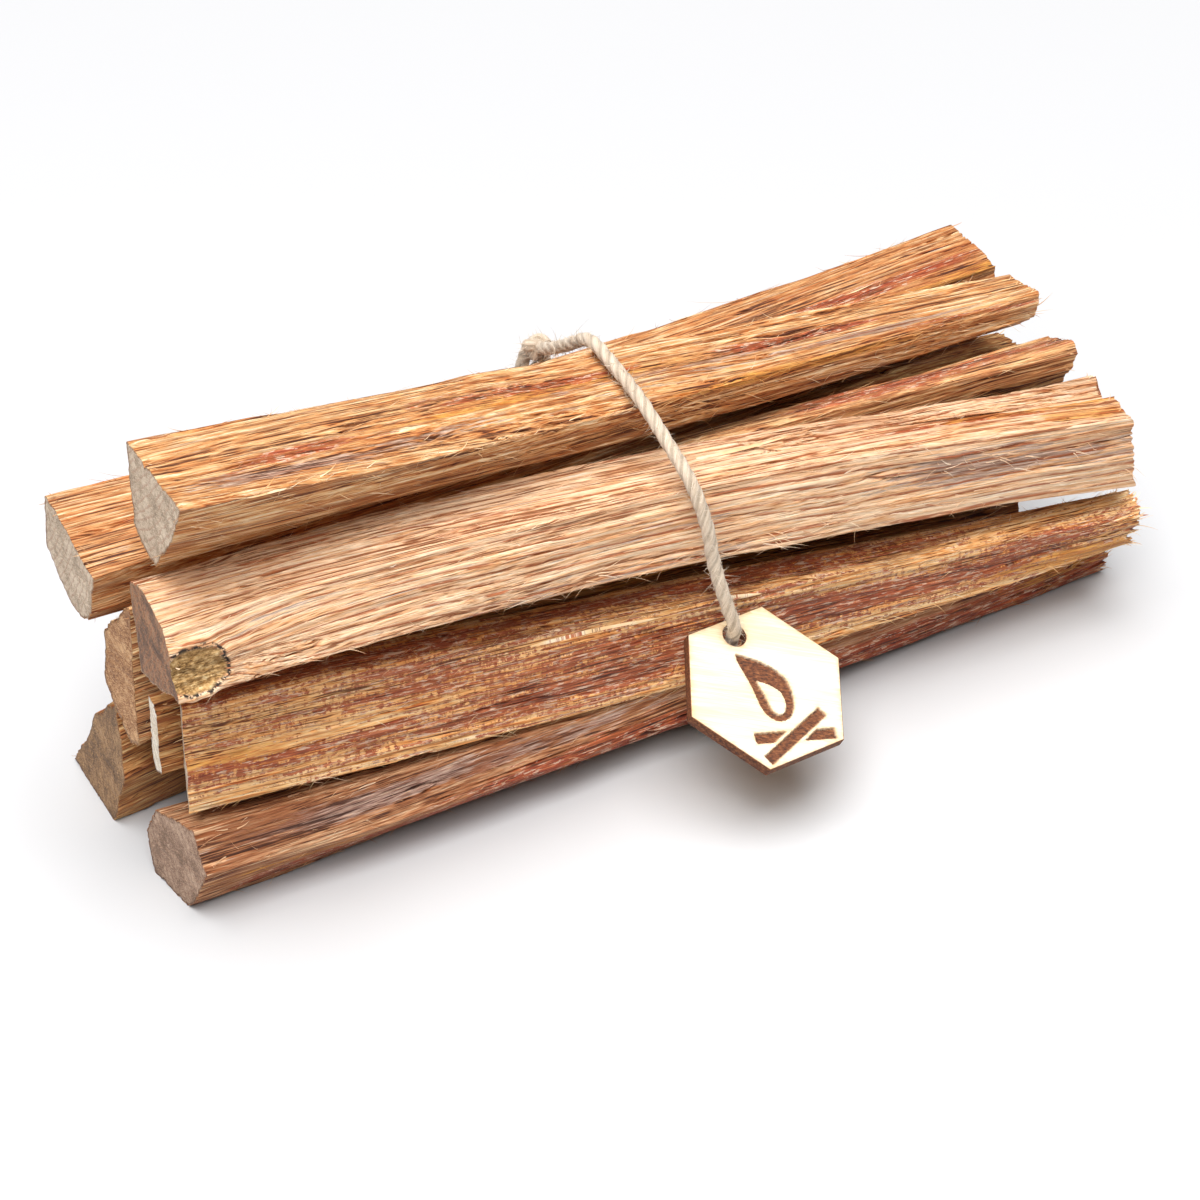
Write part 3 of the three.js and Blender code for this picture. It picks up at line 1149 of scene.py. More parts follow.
    def _burrs(self) -> Strands:
        """Burrs, which start round the rim of an end and hang over it.

        Returns:
            The burrs of both ends.
        """
        rng, many = self.rng, self.burrs
        column = rng.integers(0, self.around, many)
        tail = rng.random(many) < (0.3 if self.ends[1] is Cut.SAWN else 0.7)
        fringe = np.where(tail, RAGGED[self.ends[1]], RAGGED[self.ends[0]])
        length = np.minimum(0.7 + rng.gamma(1.5, 0.45 + 0.25 * fringe), 4.2)
        width = rng.uniform(0.06, 0.17 + 0.1 * fringe)
        lift, curl = rng.normal(0.1, 0.5, many), rng.normal(0, 0.6, many)
        row, way = np.where(tail, self.along - 4, 3), np.where(tail, 1.0, -1.0)
        return Strands(row, column, way, length, width, lift, curl)

    def _at(self, x: float, bearing: float) -> tuple[int, int]:
        """The row and column of the point nearest to a place along X and a bearing."""
        row = int(np.argmin(np.abs(self.points[:, 0, 0] - x)))
        return row, int(np.argmin(np.abs(self._turn(bearing)[row])))

    def _flap(self, flap: Flap) -> Strands:
        """Makes a flap as one wide strand.

        Args:
            flap: The flap.

        Returns:
            The strand.
        """
        row, column = self._at(flap.start, flap.bearing)
        reach = flap.stop - flap.start
        size = (np.sign(reach), abs(reach), 0.5 * flap.width, flap.lift, 0.0)
        return Strands(*(np.array([value]) for value in (row, column, *size)))

    def _tuft(self, tuft: Patch) -> Strands:
        """A patch of torn fibres, thickest at its middle.

        Args:
            tuft: The patch. Its strength is the number of fibres.

        Returns:
            The fibres.
        """
        rng, many = self.rng, int(tuft.strength)
        row, column = self._at(tuft.x, tuft.bearing)
        reach = 0.5 * tuft.length / self.LENGTH * self.along
        row = np.clip(row + rng.normal(0, reach, many).astype(int), 4, self.along - 5)
        across = rng.normal(0, tuft.width / 360.0 * self.around, many).astype(int)
        return Strands(
            row=row,
            column=(column + across) % self.around,
            way=rng.choice([-1.0, 1.0, 1.0], many),
            length=rng.uniform(1.5, 6.0, many),
            width=rng.uniform(0.05, 0.16, many),
            lift=rng.uniform(0.4, 2.4, many),
            curl=rng.normal(0, 1.4, many),
        )

    def _rings(self, loose: Strands) -> np.ndarray:
        """The rings of tapered strands, each a line along the grain.

        A strand lifts by a power of its length and curls sideways by another. Its width is the
        square root of a sine at its root, and falls to nothing at the tip.

        Args:
            loose: The strands.

        Returns:
            Four points for each step of each strand.
        """
        row, column = loose.row, loose.column
        up = self.outward[row, column]
        start = self.points[row, column] - self.ROOT * up
        before, after = np.maximum(row - 3, 0), np.minimum(row + 3, self.along - 1)
        ahead = unit(self.points[after, column] - self.points[before, column])
        ahead = ahead * loose.way[:, None]
        s = np.linspace(0.0, 1.0, self.STRAND_STEPS)[None, :, None]
        side = unit(np.cross(ahead, up))[:, None]
        path = start[:, None] + (ahead * loose.length[:, None])[:, None] * s
        path = path + (up * loose.lift[:, None])[:, None] * s**1.8
        path = path + side * loose.curl[:, None, None] * s**2.2
        path = path + side * self.rng.normal(0, 0.12, (len(start), 1, 1)) * np.sin(5.0 * s)
        body = np.sqrt(np.clip(np.sin(np.pi * (0.06 + 0.93 * s)), 0.0, 1.0)) * (1.0 - 0.55 * s)
        thick = loose.width * np.where(loose.width > 0.09, 0.35, 0.9)
        wide = side * loose.width[:, None, None] * body
        deep = up[:, None] * thick[:, None, None] * body
        rings = np.stack([path + wide, path + deep, path - wide, path - deep], 2)
        rings[..., 2] = np.maximum(rings[..., 2], FLOOR_GAP)
        return rings

    def fibres(self) -> Shape:
        """All that stands off the surface: hairs, slivers, burrs, flaps and tufts.

        Returns:
            All of them as one shape.
        """
        groups = [self._hairs(), self._burrs(), *map(self._flap, self.flaps)]
        loose = Strands.joined(groups + [self._tuft(tuft) for tuft in self.tufts])
        rings = self._rings(loose)
        total, size = len(rings), rings[0, ..., 0].size
        grain = np.repeat(self.grain[loose.row, loose.column], size, axis=0)
        grain[:, 0] = rings[..., 0].ravel()
        grain[:, 1] += 3.0 * self.rng.normal(size=total).repeat(size)
        stain = np.repeat(self.stain[loose.row, loose.column] * [0.5, 0.3, 1.0], size, axis=0)
        state = np.tile([self.PALE_RELIEF, 0.0, 0.0], (total * size, 1))
        values = {"grain": grain, "state": state, "stain": stain}
        return Shape(rings.reshape(-1, 3), rods(rings), values)

    def build(self) -> None:
        """Makes the stick and its loose fibres."""
        finish = self.wood.build()
        piece = make_piece(self.node.replace("stick", "split_stick"), self.surface(), finish)
        register(piece, self.slot, self.node)
        name = self.node.replace("stick", "fibres")
        register(make_piece(name, self.fibres(), finish, 80.0), self.slot)


# ---- Twine ----------------------------------------------------------------------------------


def smooth_route(points: np.ndarray, count: int) -> np.ndarray:
    """A centripetal Catmull-Rom curve through points, at even steps of its length.

    Between two points the curve is Barry and Goldman's pyramid of straight blends, whose knots
    are spaced by the square root of the distances. The ends are mirrored to start it.

    Args:
        points: The places that it goes through.
        count: How many steps are wanted.

    Returns:
        The places along it.
    """
    padded = np.concatenate([[2 * points[0] - points[1]], points, [2 * points[-1] - points[-2]]])
    gaps = np.sqrt(np.linalg.norm(np.diff(padded, axis=0), axis=1))
    knots = np.concatenate([[0.0], np.cumsum(gaps)])
    t = np.linspace(knots[1], knots[-2], 60 * len(points))
    span = np.clip(np.searchsorted(knots, t, side="right") - 1, 1, len(points) - 1)
    k = [knots[span + i][:, None] for i in (-1, 0, 1, 2)]
    p = [padded[span + i] for i in (-1, 0, 1, 2)]
    t = t[:, None]

    def blend(
        first: np.ndarray, second: np.ndarray, low: np.ndarray, high: np.ndarray
    ) -> np.ndarray:
        """The straight blend of two places as t goes from low to high."""
        return ((high - t) * first + (t - low) * second) / (high - low)

    a = [blend(p[i], p[i + 1], k[i], k[i + 1]) for i in range(3)]
    b = [blend(a[i], a[i + 1], k[i], k[i + 2]) for i in range(2)]
    line = blend(b[0], b[1], k[1], k[2])
    length = np.concatenate([[0.0], np.cumsum(np.linalg.norm(np.diff(line, axis=0), axis=1))])
    wanted = np.linspace(0.0, length[-1], count)
    return np.stack([np.interp(wanted, length, line[:, i]) for i in range(3)], -1)


@dataclass
class Twine:
    """The jute twine: one laid strand round the bundle, its knot, two short tails and fuzz."""

    radius: float = 1.24
    plies: int = 3
    lay: float = 9.5  # the length of one full twist, in mm
    groove: float = 0.12
    round_steps: int = 36
    hairs: int = 3600
    knot_size: float = 0.6
    route: tuple = (
        (4.2, 34.2, 59.8), (4.3, 29.6, 61.8), (4.4, 21.4, 66.8), (4.6, 13, 71.9), (5, 4, 71),
        (5.4, -5, 68.9), (6.6, -12.4, 64.3), (7.8, -20.2, 58.9), (9, -23.5, 52),
        (10.4, -24.2, 43.5), (12.2, -26, 35.5), (13.3, -26.7, 31.2), (13.9, -24.9, 27.4),
        (14.5, -22.6, 23), (15, -21.6, 17), (15, -21.8, 11), (14.5, -20.4, 5),
        (13.8, -15, 1.8), (12.6, -5, 1.8), (11.4, 6, 3), (10, 19, 7.2), (8.4, 28.8, 13),
        (6.8, 34.3, 22.4), (5.6, 35.2, 36), (4.8, 35.4, 46), (4.3, 35.2, 56),
    )
    tails: tuple = (
        ((4.2, 34.4, 59), (3.4, 37.2, 57), (2.8, 38, 53), (2.2, 38, 48.5)),
        ((4.2, 34.4, 59), (6, 37.2, 57), (7.8, 38, 53.5), (8.6, 38, 50)),
    )

    LOOP_STEPS = int(224.0 / 0.15)  # a generous length by the length of a step, in mm
    KNOT_STEPS = 160
    TAIL_STEPS = 90
    HAIR_STEPS = 6
    HAIR_SIDES = 3
    HUB = (3.0, 34.0)  # Y and Z of the middle of the bundle

    def __post_init__(self) -> None:
        """Starts the twine's noise and random numbers."""
        self.rng = np.random.default_rng(5)
        self.noise = SlopeNoise(21)

    def _strand(self, path: np.ndarray, fray: float = 0.0) -> Shape:
        """A laid strand along a path.

        Its section is a circle whose radius dips where two plies meet: 1 less the groove's
        depth times the fourth power of the sine of half the plies' angle. That pattern turns
        once in each lay.

        Args:
            path: The middle of the strand.
            fray: How much the strand opens out at its end.

        Returns:
            The strand as a closed shape.
        """
        along = np.concatenate([[0], np.cumsum(np.linalg.norm(np.diff(path, axis=0), axis=1))])
        tangent = unit(np.gradient(path, axis=0))
        hub = np.array([path[:, 0].mean(), *self.HUB]) + ORIGIN_SHIFT * [0, 1, 1]
        outward = path - hub
        outward -= np.sum(outward * tangent, -1, keepdims=True) * tangent
        outward = unit(outward)
        side = np.cross(tangent, outward)
        turn = np.linspace(0.0, 2 * np.pi, self.round_steps, endpoint=False)[None, :]
        lobe = self.plies * (turn - 2 * np.pi * along[:, None] / self.lay)
        dip = np.cos(0.5 * lobe) ** 4
        grid = np.stack([along[:, None] + 0 * turn, 6 * np.sin(turn) + 0 * lobe, 0 * lobe], -1)
        ruffle = 0.05 * self.noise(grid, (1.4, 0.8, 1.0)) + 0.04 * self.noise(grid, (9, 9, 1))
        radius = self.radius * (1.0 - self.groove * dip + ruffle)
        radius *= 1.0 + fray * (along / along[-1])[:, None] ** 3 * (1 - dip)
        ends = np.minimum(along, along[-1] - along)[:, None] / self.radius
        radius *= np.sqrt(np.clip(ends + 0.04, 0.0, 1.0))
        ring = outward[:, None] * np.cos(turn)[..., None] + side[:, None] * np.sin(turn)[..., None]
        points = path[:, None] + radius[..., None] * ring
        strand = np.stack([along[:, None] + 0 * turn, radius * (lobe % (2 * np.pi)), 0 * lobe], -1)
        # depth marks the grooves between plies, where the twine's finish paints shade.
        values = {"strand": strand.reshape(-1, 3), "depth": dip.ravel()}
        return Shape(points.reshape(-1, 3), tube(*lobe.shape)[:, ::-1], values)

    def _knot(self) -> Shape:
        """Makes the overhand knot: a trefoil, (sin t + 2 sin 2t, cos t - 2 cos 2t, -sin 3t).

        Returns:
            The knot, over the start of the loop.
        """
        t = np.linspace(0.0, 2 * np.pi, self.KNOT_STEPS)
        across, height = np.sin(t) + 2 * np.sin(2 * t), np.cos(t) - 2 * np.cos(2 * t)
        loop = np.stack([across, -1.3 * np.sin(3 * t), height], -1)
        centre = np.array(self.route[0]) + ORIGIN_SHIFT
        return self._strand(centre + self.knot_size * loop * [1.0, 0.8, 0.8])

    def _fuzz(self, base: Shape, count: int) -> Shape:
        """Loose hairs: thin three-sided spikes that leave the strand and bend over.

        Args:
            base: The strand that they leave.
            count: How many hairs.

        Returns:
            The hairs as one shape.
        """
        rng = self.rng
        picked = rng.integers(0, len(base.vertices), count)
        root = base.vertices[picked]
        way = unit(rng.normal(size=(count, 3)))
        bend = unit(rng.normal(size=(count, 3)))
        length = 0.4 + rng.gamma(1.4, 0.6, count)
        s = np.linspace(0.0, 1.0, self.HAIR_STEPS)[None, :, None]
        path = root[:, None] + (way * length[:, None])[:, None] * s
        path = path + (bend * (0.7 * length)[:, None])[:, None] * s**2
        turn = np.linspace(0, 2 * np.pi, self.HAIR_SIDES, endpoint=False)
        side = unit(np.cross(way, bend))[:, None, None]
        over = np.cross(side, way[:, None, None])
        spoke = side * np.cos(turn)[None, None, :, None] + over * np.sin(turn)[None, None, :, None]
        width = rng.uniform(0.03, 0.06, count)[:, None, None, None]
        ring = path[:, :, None] + spoke * width * (1.0 - 0.9 * s[..., None])
        ring[..., 2] = np.maximum(ring[..., 2], FLOOR_GAP)
        size = self.HAIR_STEPS * self.HAIR_SIDES
        strand = np.repeat(base.values["strand"][picked], size, axis=0)
        values = {"strand": strand, "depth": np.zeros(len(strand))}
        return Shape(ring.reshape(-1, 3), rods(ring), values)

    def build(self) -> None:
        """Makes the loop, the knot with its tails, and the fuzz."""
        finish = JuteTwine().build()
        loop_path = smooth_route(np.array(self.route) + ORIGIN_SHIFT, self.LOOP_STEPS)
        loop = self._strand(loop_path)
        length = np.linalg.norm(np.diff(loop_path, axis=0), axis=1).sum()
        LOG.info("twine loop: %.0f mm long", length)
        register(make_piece("twine_loop", loop, finish), "jute", "twine")
        knot = self._knot()
        for tail in self.tails:
            path = smooth_route(np.array(tail) + ORIGIN_SHIFT, self.TAIL_STEPS)
            knot = knot.joined(self._strand(path, 0.35))
        register(make_piece("twine_knot", knot, finish), "jute")
        fuzz = self._fuzz(loop, self.hairs).joined(self._fuzz(knot, self.hairs // 3))
        register(make_piece("twine_fuzz", fuzz, finish), "jute")


# ---- Tag ------------------------------------------------------------------------------------


@dataclass
class Tag:
    """The six-sided plywood tag: a plate with a hole and a burnt-in flame over crossed sticks."""

    side: float = 16.75
    thickness: float = 2.4
    hole_diameter: float = 4.4
    hole_radius: float = 11.2
    hole_angle: float = 120.0
    centre: tuple = (15.2, -34.5, 21.7)
    face: tuple = (0.11, -0.5, 0.86)
    corner: tuple = (0.39, 0.82, 0.42)
    round_over: float = 0.18
    engraved: float = 0.45
    motif_size: float = 1.2
    motif_drop: float = 1.6  # how far the motif stands below the tag's middle
    grid: float = 0.24
    APOTHEM = math.cos(math.pi / 6)  # from a hexagon's middle to a side, for a side of 1
    SIDE_STEPS = 60
    HOLE_STEPS = 72
    MOTIF_TURN = math.radians(30.0)
    STICK_LEAN = 17.0  # how far a crossed stick leans, in degrees
    STICK_DROP = 7.4  # how far the sticks cross below the motif's middle
    ARC_STEPS = 4  # points of each quarter round

    @property
    def hole_middle(self) -> np.ndarray:
        """The middle of the hole, in the tag's own axes."""
        angle = math.radians(self.hole_angle)
        return self.hole_radius * np.array([math.cos(angle), math.sin(angle)])

    def _hex(self, u: np.ndarray, v: np.ndarray) -> np.ndarray:
        """Measures how far inside the six sides a place is: the least distance to a side.

        Args:
            u: How far across the tag it is.
            v: How far up the tag it is.

        Returns:
            The distance.
        """
        inner = self.side * self.APOTHEM
        angles = np.radians(60.0 * np.arange(6))
        away = np.stack([inner - (u * math.cos(a) + v * math.sin(a)) for a in angles])
        return away.min(axis=0)

    def _hole(self, u: np.ndarray, v: np.ndarray) -> np.ndarray:
        """How far outside the hole's edge a place is, across and up the tag."""
        middle = self.hole_middle
        return np.hypot(u - middle[0], v - middle[1]) - 0.5 * self.hole_diameter

    def _motif(self, u: np.ndarray, v: np.ndarray) -> np.ndarray:
        """Measures how far inside the engraving a place is: a flame over two crossed sticks.

        The motif's own axes are turned 30 degrees, so that it stands with the hole at its top.
        The flame's half width is a power of the height from its foot times a power of the
        height left to its tip, and its middle sways as a sine. A second, smaller one is left
        standing inside it. A stick is a line with a width.

        Args:
            u: How far across the tag it is.
            v: How far up the tag it is.

        Returns:
            The distance.
        """
        turn = self.MOTIF_TURN
        across = (u * math.cos(turn) + v * math.sin(turn)) / self.motif_size
        up = (-u * math.sin(turn) + v * math.cos(turn) + self.motif_drop) / self.motif_size

        def flame(foot: float, height: float, width: float) -> np.ndarray:
            """Measures how far inside one flame each place is.

            Args:
                foot: Where its foot is, up from the motif's middle.
                height: How high it stands.
                width: About how wide half of it is.

            Returns:
                The distance.
            """
            rise = np.clip((up - foot) / height, 0.0, 1.0)
            half = width * 1.9 * rise**0.5 * (1.0 - rise) ** 0.85
            sway = 0.14 * height * np.sin(4.2 * rise) * rise
            inside = half - np.abs(across - sway)
            return np.where((up > foot) & (up < foot + height), inside, -1.0)

        fire = np.minimum(flame(-4.6, 12.4, 3.9), -flame(-3.6, 6.4, 1.9))
        sticks = []
        level = up + self.STICK_DROP
        for lean in (-self.STICK_LEAN, self.STICK_LEAN):
            a = math.radians(lean)
            along = across * math.cos(a) + level * math.sin(a)
            beside = -across * math.sin(a) + level * math.cos(a)
            sticks.append(np.minimum(0.85 - np.abs(beside), 6.6 - np.abs(along)))
        over = np.minimum(sticks[0], -(sticks[1] + 0.55))
        return self.motif_size * np.maximum(fire, np.maximum(over, sticks[1]))

    def _flat(self) -> tuple[np.ndarray, np.ndarray]:
        """Triangles that fill the plate's outline less its hole, inside its rounded edges.

        Returns:
            The places, and the triangles between them, counter-clockwise. The outline and the
            hole come first.
        """
        share = np.linspace(0.0, 1.0, self.SIDE_STEPS, endpoint=False)[:, None]
        corners = np.radians(90.0 + 60.0 * np.arange(7))
        reach = self.side - self.round_over / self.APOTHEM
        tips = reach * np.stack([np.cos(corners), np.sin(corners)], -1)
        rim = np.concatenate([a * (1 - share) + b * share for a, b in zip(tips, tips[1:])])
        turn = np.linspace(0.0, 2 * np.pi, self.HOLE_STEPS, endpoint=False)
        hole = 0.5 * self.hole_diameter + self.round_over
        ring = self.hole_middle + hole * np.stack([np.cos(turn), -np.sin(turn)], -1)
        ticks = np.arange(-self.side, self.side, self.grid)
        u, v = (axis.ravel() for axis in np.meshgrid(ticks, ticks, indexing="ij"))
        rng = np.random.default_rng(3)
        u = u + rng.uniform(-0.05, 0.05, u.size)
        v = v + rng.uniform(-0.05, 0.05, v.size)
        margin = self.round_over + 0.14
        kept = (self._hex(u, v) > margin) & (self._hole(u, v) > margin)
        places = np.concatenate([rim, ring, np.stack([u[kept], v[kept]], -1)])
        loops = [list(range(len(rim))), list(range(len(rim), len(rim) + len(ring)))]
        edges = [(a, b) for loop in loops for a, b in zip(loop, loop[1:] + loop[:1])]
        found = delaunay_2d_cdt([mathutils.Vector(p) for p in places], edges, [], 0, 1e-6)
        places, faces = np.array([tuple(p) for p in found[0]]), np.array(found[2])
        middle_of = places[faces].mean(axis=1)
        edge = 0.6 * self.round_over
        kept = (self._hex(*middle_of.T) > edge) & (self._hole(*middle_of.T) > edge)
        faces = faces[kept]
        first, second, third = (places[faces[:, i]] for i in range(3))
        side, other = second - first, third - first
        wrong = side[:, 0] * other[:, 1] - side[:, 1] * other[:, 0] < 0
        faces[wrong] = faces[wrong][:, ::-1]
        return places, faces

    def _wall(self, loop: np.ndarray, normal: np.ndarray) -> tuple[np.ndarray, np.ndarray]:
        """The edge between the two faces along a loop, with a quarter round at each.

        Args:
            loop: The loop's places on the faces.
            normal: The way out of the wood at each.

        Returns:
            Rows of points from the front to the back, and their triangles.
        """
        arc = np.linspace(0.0, 0.5 * np.pi, self.ARC_STEPS)
        out = self.round_over * np.concatenate([np.sin(arc), np.sin(arc[::-1])])
        half = 0.5 * self.thickness
        drop = half - self.round_over * (1.0 - np.cos(arc))
        height = np.concatenate([drop, -drop[::-1]])
        flat = loop[None] + normal[None] * out[:, None, None]
        level = np.broadcast_to(height[:, None, None], (len(height), len(loop), 1))
        points = np.concatenate([flat, level], -1)
        return points.reshape(-1, 3), lattice(len(height), len(loop))

    def shape(self) -> Shape:
        """The whole plate, in the tag's own axes.

        Returns:
            The front with its engraving, the plain back, and the walls of the rim and hole.
        """
        places, faces = self._flat()
        half = 0.5 * self.thickness
        inside = self._motif(places[:, 0], places[:, 1])
        drop = self.engraved * smooth(inside, -0.12, 0.12)
        grit = SlopeNoise(8)(np.column_stack([places, 0 * places[:, 0]]), (1.6, 0.5, 1.0))
        front = np.column_stack([places, half - drop * (1.0 + 0.16 * grit)])
        back = np.column_stack([places, np.full(len(places), -half)])
        side, place = np.divmod(np.arange(6 * self.SIDE_STEPS), self.SIDE_STEPS)
        rim, ring = np.split(places[: side.size + self.HOLE_STEPS], [side.size])
        angle = np.radians(60.0 * side + 120.0)
        out = np.stack([np.cos(angle), np.sin(angle)], -1)
        out[place == 0] = unit(rim[place == 0]) / self.APOTHEM
        inward = unit(ring.mean(axis=0) - ring)
        walls = [self._wall(rim, out), self._wall(ring, inward)]
        vertices, triangles = [front, back], [faces, faces[:, ::-1] + len(front)]
        for points, wall in walls:
            triangles.append(wall + sum(len(part) for part in vertices))
            vertices.append(points)
        points = np.concatenate(vertices)
        edge = np.minimum(self._hex(*points[:, :2].T), self._hole(*points[:, :2].T))
        level = np.abs(points[:, 2])
        burn = np.maximum(1.0 - smooth(edge, 0.05, self.round_over), 0.0)
        burn = np.maximum(burn * (level < half + 1e-6), 0.0)
        motif = self._motif(*points[:, :2].T)
        front_half = points[:, 2] > 0
        carved = smooth(motif, -0.1, 0.1) * front_half
        halo = 0.8 * np.exp(-edge / 0.5) + 0.75 * np.exp(-np.abs(motif) / 0.35) * front_half
        values = {
            "plate": points.copy(),
            "burn": np.maximum(burn, carved),
            "scorch": np.clip(halo, 0.0, 1.0),
        }
        return Shape(points, np.concatenate(triangles), values)

    def build(self) -> None:
        """Makes the tag where it hangs: front to its face direction, top to its corner's."""
        face = unit(np.array(self.face))
        right = unit(np.cross(np.array(self.corner), face))
        up = np.cross(face, right)
        shape = self.shape()
        shape.vertices = shape.vertices @ np.stack([right, up, face]) + self.centre + ORIGIN_SHIFT
        piece = make_piece("engraved_tag", shape, BirchPly().build(), 35.0)
        register(piece, "birch_ply", "tag")


# ---- Studio ---------------------------------------------------------------------------------


@dataclass
class Studio:
    """The floor, the lamps and the camera."""

    azimuth: float = -27.0
    elevation: float = 34.0
    distance: float = 650.0
    lens: float = 106.3
    target: tuple[float, float, float] = (-7.9, 3.5, 25.0)
    sun_from: tuple[float, float, float] = (-0.06, -0.02, 1.0)
    sun_angle: float = 58.0
    sun_power: float = 4.8
    fill: float = 0.06  # strength of the light from all round
    floor: str = "#bfbfc0"

    def build(self) -> None:
        """Makes the floor, the lamps and the camera."""
        self._camera()
        self._floor()
        self._sun()
        self._lamp("side", (-420, -640, 900), (0, 0, 40), 600, 9.0)
        world = bpy.data.worlds.new("studio")
        world.use_nodes = True
        world.node_tree.nodes["Background"].inputs["Color"].default_value = linear("#f1f3ff")
        world.node_tree.nodes["Background"].inputs["Strength"].default_value = self.fill
        bpy.context.scene.world = world
        bpy.context.scene.view_settings.view_transform = "Standard"

    def _camera(self) -> None:
        """A long lens that looks down at the bundle from its sawn ends' side."""
        data = bpy.data.cameras.new("camera")
        data.lens = self.lens
        data.sensor_width = 36.0
        camera = bpy.data.objects.new("camera", data)
        turn, rise = math.radians(self.azimuth), math.radians(self.elevation)
        back = mathutils.Vector(
            (math.sin(turn) * math.cos(rise), -math.cos(turn) * math.cos(rise), math.sin(rise))
        )
        camera.location = (mathutils.Vector(self.target) + back * self.distance) * MM
        camera.rotation_euler = back.to_track_quat("Z", "Y").to_euler()
        bpy.context.scene.collection.objects.link(camera)
        bpy.context.scene.camera = camera

    def _floor(self) -> None:
        """A wide plain white floor."""
        half = 6000.0
        corners = np.array([[-half, -half, 0], [half, -half, 0], [half, half, 0], [-half, half, 0]])
        finish = Painter("white_floor").finish(linear(self.floor), 0.9)
        make_piece("floor", Shape(corners, np.array([[0, 1, 2], [0, 2, 3]])), finish)

    def _sun(self) -> None:
        """A broad soft sun, high and a little behind, which gives the floor an even white."""
        data = bpy.data.lights.new("softbox", "SUN")
        data.angle = math.radians(self.sun_angle)
        data.energy = self.sun_power
        lamp = bpy.data.objects.new("softbox", data)
        lamp.rotation_euler = mathutils.Vector(self.sun_from).to_track_quat("Z", "Y").to_euler()
        bpy.context.scene.collection.objects.link(lamp)

    def _lamp(self, name: str, place: tuple, aim: tuple, size: float, power: float) -> None:
        """Adds a square soft lamp.

        Args:
            name: Its name.
            place: Where it stands, in millimetres.
            aim: The place that it faces.
            size: Its side, in millimetres.
            power: Its power, in watts.
        """
        data = bpy.data.lights.new(name, "AREA")
        data.size = size * MM
        data.energy = power
        lamp = bpy.data.objects.new(name, data)
        away = mathutils.Vector(place) - mathutils.Vector(aim)
        lamp.location = mathutils.Vector(place) * MM
        lamp.rotation_euler = away.to_track_quat("Z", "Y").to_euler()
        bpy.context.scene.collection.objects.link(lamp)


# ---- Bundle ---------------------------------------------------------------------------------


